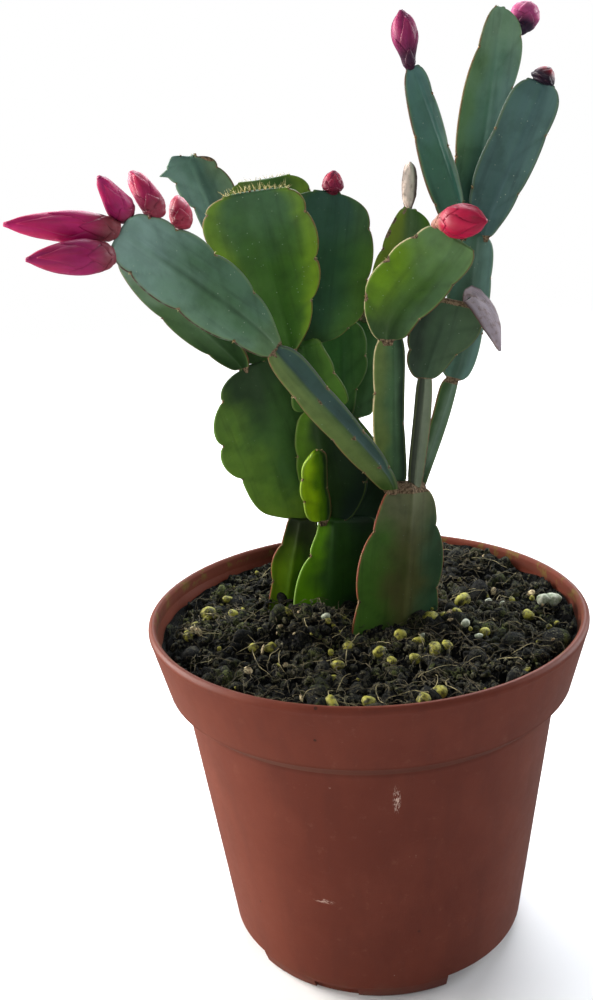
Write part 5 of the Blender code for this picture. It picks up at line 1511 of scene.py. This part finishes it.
strewn = {
    "peat_crumbs": {"bed": (55.5, 0.0), "material": "crumb", "Density": 260000.0, "Seed": 3, "Smallest": 0.28,
                    "Largest": 1.9, "Flatness": 0.9, "Detail": 1, "Sink": 0.1, "Lump": 0.9,
                    "Lump scale": 900.0},
    "peat_clods": {"bed": (54.5, 0.0), "material": "clod", "Density": 30000.0, "Seed": 11, "Smallest": 1.0,
                   "Largest": 4.2, "Flatness": 0.8, "Detail": 2, "Sink": 0.5, "Lump": 2.5,
                   "Lump scale": 520.0},
    "algae_grains": {"bed": (53.5, 0.0), "material": "grain", "Density": 6500.0, "Seed": 23, "Smallest": 0.5,
                     "Largest": 2.0, "Flatness": 0.8, "Detail": 3, "Sink": -0.3, "Lump": 1.6,
                     "Lump scale": 420.0},
    "husk_bits": {"bed": (54.5, 0.0), "material": "husk", "Density": 4200.0, "Seed": 31, "Smallest": 0.4,
                  "Largest": 1.7, "Flatness": 0.4, "Detail": 2, "Sink": -1.0, "Lump": 0.8,
                  "Lump scale": 700.0},
}

fibres = {
    "dark_fibres": {"bed": (53.0, 0.8), "material": "fibre", "Density": 90000.0, "Seed": 5, "Length": 9.0,
                    "Radius": 0.10, "Bend": 5.0, "Tilt": 0.5, "Lift": 2.0, "Sides": 3},
    "pale_fibres": {"bed": (50.0, 1.6), "material": "straw", "Density": 9000.0, "Seed": 8, "Length": 13.0,
                    "Radius": 0.09, "Bend": 2.6, "Tilt": 0.5, "Lift": 1.6, "Sides": 4},
}


def strewSoil(strewing, laying, looks):
    for tree, items in ((strewing, strewn), (laying, fibres)):
        for name, item in items.items():
            settings = {key: value * mm if key in inMillimetres else value for key, value in item.items()}
            settings["Material"] = looks[item["material"]]
            growOn(name, makeBed(*item["bed"]), tree, settings, "peat")


def pointCloud(name, places, leans, sizes):
    mesh = meshOf(name, places, [])
    for label, rows in (("lean", leans), ("size", sizes)):
        layer = mesh.attributes.new(label, "FLOAT_VECTOR", "POINT")
        layer.data.foreach_set("vector", [part for row in rows for part in row])
    return objectOf(name, mesh)


# The larger grains that lie in front: x, y and radius in millimetres
namedGrains = {
    "algae_pellets": {"material": "grain", "lump": 1.7, "spots": (
        (-45.5, 9.5, 2.3), (-38.0, 9.0, 1.5), (-40.5, 19.0, 1.5), (-48.0, 1.0, 1.3), (-30.5, -14.0, 1.5),
        (-26.0, -13.0, 1.4), (-8.0, -24.5, 1.9), (3.0, -20.0, 1.6), (9.0, -11.0, 1.9), (13.5, -13.5, 1.6),
        (18.0, -1.5, 2.3), (25.0, -2.5, 1.5), (27.5, 9.0, 2.4), (17.5, -19.0, 1.9), (21.0, -17.0, 1.5),
        (31.5, -10.0, 1.6), (44.5, -1.5, 1.7), (-9.0, -48.2, 1.9), (-0.1, -45.9, 2.0), (12.9, -46.5, 2.1),
        (16.9, -43.4, 1.8), (2.0, -1.0, 1.5), (-29.0, -3.5, 1.2), (6.0, -24.0, 1.4))},
    "pale_pebbles": {"material": "pebble", "lump": 1.2, "spots": (
        (49.5, 4.0, 2.1), (51.6, 4.6, 2.3), (-11.0, -5.5, 1.1), (26.5, -8.0, 1.2), (29.5, -13.5, 1.1),
        (35.0, 10.5, 1.0), (38.5, 8.0, 0.9), (4.0, -17.0, 1.1), (15.0, -10.0, 1.0))},
}


grainLook = {
    "seed": 41, "spinSeed": 7, "lumpScale": 330.0,
    "seat": 0.55,           # height of a grain's centre over the soil, as a share of its radius
    "lean": 0.6,
    "stretch": ((0.95, 1.3), (0.8, 1.0), (0.7, 0.95)),
}


def layGrains(planting, looks):
    look = grainLook
    shape = objectOf("ball", solidShape("ball", bmesh.ops.create_icosphere, subdivisions=3, radius=1.0))
    draw = random.Random(look["seed"])
    for name, item in namedGrains.items():
        places, leans, sizes = [], [], []
        for x, y, radius in item["spots"]:
            places.append((x, y, soilHeight(x, y) + radius * look["seat"]))
            leans.append((*(draw.uniform(-look["lean"], look["lean"]) for axis in range(2)), 1.0))
            sizes.append([radius * draw.uniform(low, high) * mm for low, high in look["stretch"]])
        settings = {"Shape": shape, "Seed": look["spinSeed"], "Lump": item["lump"] * mm,
                    "Lump scale": look["lumpScale"], "Material": looks[item["material"]]}
        growOn(name, pointCloud(name + "Spots", places, leans, sizes), planting, settings, "peat")
    discard(shape)


# Bristles and the small felt cushions they stand on, in the notches of the pads

bristleLook = {
    "seed": 19, "spinSeed": 2, "lumpScale": 1500.0,
    "perNotch": 2, "length": 0.7, "radius": 0.06, "spread": 0.55,
    "cushion": 0.30, "flatness": 0.7,
    "sink": 0.12,           # depth of a notch's cushion under the margin
}

# pads whose tip carries a row of areoles: pad, areoles, bristles at each and their length
tipRows = {"b4": (13, 7, 2.1), "b6": (13, 5, 1.3), "a4": (5, 3, 0.6), "b5": (5, 2, 0.6), "a2": (3, 3, 1.0),
           "f3": (3, 2, 0.6), "c5": (3, 2, 0.6), "b2": (3, 3, 0.9), "e2": (4, 2, 0.7), "f4": (4, 1, 0.5),
           "c4": (4, 1, 0.5)}


def areoleSpots():
    spots = []
    for key, pad in pads.items():
        for hand, name in ((-1, "leftCuts"), (1, "rightCuts")):
            for cut in pad[name]:
                t = stationOf(cut)
                outward = outwardAt(pad, hand, t)[0]
                place = marginPoint(pad, hand, t) - outward * bristleLook["sink"]
                spots.append((place, outward, bristleLook["perNotch"], bristleLook["length"]))
        areoles, bristles, length = tipRows.get(key, (0, 0, 0.0))
        point, ahead, side, normal = pad["spine"].frame(1.0)
        for k in range(areoles):
            part = 2 * (k + 0.5) / areoles - 1
            width = pad["right"][-1] if part > 0 else pad["left"][-1]
            place = point + side * (part * width * 0.94) + normal * pad["cup"] * part * part
            place += ahead * 0.28 * pad["crown"] * (1 - part * part)
            lean = (ahead + side * part * 0.6).normalized()
            place += ahead * smoothValue(pad["crest"], (part + 1) / 2)
            spots.append((place, lean, bristles, length))
    return spots


def growBristles(planting, looks):
    look = bristleLook
    draw = random.Random(look["seed"])
    cone = solidShape("cone", bmesh.ops.create_cone, cap_ends=True, segments=4, radius1=1.0, radius2=0.15,
                      depth=1.0, matrix=Matrix.Translation((0, 0, 0.5)))
    ball = solidShape("cushion", bmesh.ops.create_icosphere, subdivisions=2, radius=1.0)
    coneShape, ballShape = objectOf("cone", cone), objectOf("cushion", ball)
    hairs, cushions = ([], [], []), ([], [], [])
    for place, lean, bristles, length in areoleSpots():
        cushions[0].append(place)
        cushions[1].append(tuple(lean))
        wide = look["cushion"] * draw.uniform(0.75, 1.2) * mm
        cushions[2].append((wide, wide, wide * look["flatness"]))
        for k in range(bristles):
            loose = Vector([draw.uniform(-1, 1) for axis in range(3)]) * look["spread"]
            hairs[0].append(place + Vector([draw.uniform(-0.2, 0.2) for axis in range(3)]))
            hairs[1].append(tuple((lean + loose).normalized()))
            radius = look["radius"] * mm
            hairs[2].append((radius, radius, length * draw.uniform(0.45, 1.2) * mm))
    for name, shape, cloud, material, lump in (("areole_bristles", coneShape, hairs, "bristle", 0.0),
                                               ("areole_felt", ballShape, cushions, "felt", 0.25)):
        settings = {"Shape": shape, "Seed": look["spinSeed"], "Lump": lump * mm,
                    "Lump scale": look["lumpScale"], "Material": looks[material]}
        growOn(name, pointCloud(name + "Spots", *cloud), planting, settings, "cactus_cork")
    discard(coneShape)
    discard(ballShape)


# Stage: floor, lights and camera

stage = {
    "floorRadius": 1400.0,
    "floorSides": 96,
    "floorHeight": -0.2,
    "floorClear": 420.0,      # the floor starts to fade into the backdrop here
    "backdropRadius": 4000.0,
    "floorTone": (0.80, 0.80, 0.80),
    "fill": (0.19, 0.205, 0.225),
    "aim": (0.0, 0.0, 0.12),  # the lights point here, in metres
}

# place in metres, side in metres, strength against the fill, tint
lights = {
    "key": {"place": (-1.05, 0.42, 0.62), "side": 0.8, "power": 34.0, "tint": (1.0, 0.97, 0.92)},
    "sky": {"place": (0.15, 0.95, 1.15), "side": 1.3, "power": 36.0, "tint": (0.90, 0.95, 1.0)},
    "side": {"place": (-1.25, -0.10, 0.16), "side": 0.5, "power": 17.5, "tint": (1.0, 0.92, 0.82)},
    "edge": {"place": (1.1, 0.55, 0.45), "side": 0.7, "power": 12.0, "tint": (0.96, 0.98, 1.0)},
    "front": {"place": (0.25, -1.3, 0.95), "side": 1.2, "power": 6.0, "tint": (1.0, 1.0, 1.0)},
}

view = {
    "place": (0.0, -0.2816, 0.2168),
    "right": (0.9975, 0.0441, -0.0559),
    "up": (0.0399, 0.3046, 0.9517),
    "lens": 39.6,
}


def makeFloor():
    size = stage
    sides, radius, height = size["floorSides"], size["floorRadius"], size["floorHeight"]
    points = [(0.0, 0.0, height)]
    for step in range(sides):
        angle = 2 * math.pi * step / sides
        points.append((radius * math.cos(angle), radius * math.sin(angle), height))
    faces = [(0, 1 + step, 1 + (step + 1) % sides) for step in range(sides)]
    material, graph = newMaterial("floorPaper", {"Roughness": 0.9, "Specular IOR Level": 0.1})
    place = graph.place()
    gap = graph.vector("LENGTH", {0: place}, output="Value")
    fade = 1 - gap.above(size["floorClear"] * mm, size["floorRadius"] * mm * 0.9)
    tint = graph.mix(graph.grain(place, 30 * mm), rgba(size["floorTone"]), rgba((0.82, 0.82, 0.82)))
    feed(material, {"Base Color": tint, "Alpha": fade})
    floor = objectOf("floor", meshOf("floor", points, faces), material)
    floor.visible_glossy = False


def makeBackdrop():
    # a plain white dome that only the camera sees, so that it adds no light of its own
    radius = stage["backdropRadius"] * mm
    mesh = solidShape("backdrop", bmesh.ops.create_icosphere, subdivisions=4, radius=radius)
    material = bpy.data.materials.new("backdropWhite")
    material.use_nodes = True
    material.node_tree.nodes.clear()
    graph = Graph(material.node_tree)
    glow = graph.node("ShaderNodeEmission", None, {"Color": (1.0, 1.0, 1.0, 1.0), "Strength": 1.0})
    end = material.node_tree.nodes.new("ShaderNodeOutputMaterial")
    material.node_tree.links.new(glow.socket, end.inputs["Surface"])
    dome = objectOf("backdrop", mesh, material)
    dome.visible_diffuse = False
    dome.visible_glossy = False
    dome.visible_transmission = False
    dome.visible_shadow = False


def makeLights():
    world = bpy.data.worlds.new("studio")
    world.use_nodes = True
    world.node_tree.nodes["Background"].inputs["Color"].default_value = rgba(stage["fill"])
    bpy.context.scene.world = world
    aim = Vector(stage["aim"])
    for name, item in lights.items():
        lamp = bpy.data.lights.new(name, "AREA")
        lamp.shape = "DISK"
        lamp.size = item["side"]
        lamp.energy = item["power"]
        lamp.color = item["tint"]
        holder = bpy.data.objects.new(name, lamp)
        holder.location = item["place"]
        holder.rotation_euler = (aim - Vector(item["place"])).to_track_quat("-Z", "Y").to_euler()
        holder.visible_camera = False
        bpy.context.scene.collection.objects.link(holder)


def makeCamera():
    camera = bpy.data.cameras.new("camera")
    camera.lens = view["lens"]
    camera.sensor_width = 36.0
    camera.clip_start = 0.01
    holder = bpy.data.objects.new("camera", camera)
    right, up = Vector(view["right"]), Vector(view["up"])
    turn = Matrix((right, up, right.cross(up))).transposed().to_4x4()
    holder.matrix_world = Matrix.Translation(view["place"]) @ turn
    bpy.context.scene.collection.objects.link(holder)
    bpy.context.scene.camera = holder
    bpy.context.scene.view_settings.view_transform = "Standard"


def main():
    makeCamera()
    makeLights()
    makeFloor()
    makeBackdrop()
    skin, petal, papery = makeSkin(), makePetal(), makePapery()
    looks = {
        "crumb": makePeat("peatCrumb", shade(2, 4, 5), shade(98, 95, 72), 0.6),
        "clod": makePeat("peatClod", shade(2, 4, 5), shade(72, 70, 54), 0.9),
        "grain": makeMottled("algaeGrain", shade(46, 44, 16), shade(156, 152, 58), 1.6, 0.6, 0.3),
        "husk": makeMottled("husk", shade(112, 92, 62), shade(196, 180, 140), 1.1, 0.7, 0.3),
        "pebble": makeMottled("pebble", shade(112, 122, 98), shade(188, 190, 172), 1.6, 0.6, 0.3),
        "fibre": makeMottled("fibre", shade(26, 24, 18), shade(88, 80, 56), 2.0, 0.8, 0.1),
        "straw": makeMottled("straw", shade(84, 78, 48), shade(164, 152, 108), 3.0, 0.6, 0.1),
        "bristle": makeMottled("bristle", shade(170, 150, 90), shade(214, 206, 150), 0.6, 0.5, 0.02),
        "felt": makeMottled("areoleFelt", shade(70, 44, 28), shade(140, 110, 74), 0.5, 0.9, 0.1),
    }
    print("materials made")
    turning, strewing, planting, laying = turnTree(), strewTree(), plantTree(), fibreTree()
    growPads(skin)
    growBuds(petal, papery)
    growDried(papery)
    makePot(turning, makePotPlastic())
    makeSoil(makePeat("peatBed", shade(2, 4, 5), shade(80, 78, 60), 0.9, paintedHollowShade=True))
    strewSoil(strewing, laying, looks)
    layGrains(planting, looks)
    growBristles(planting, looks)


main()
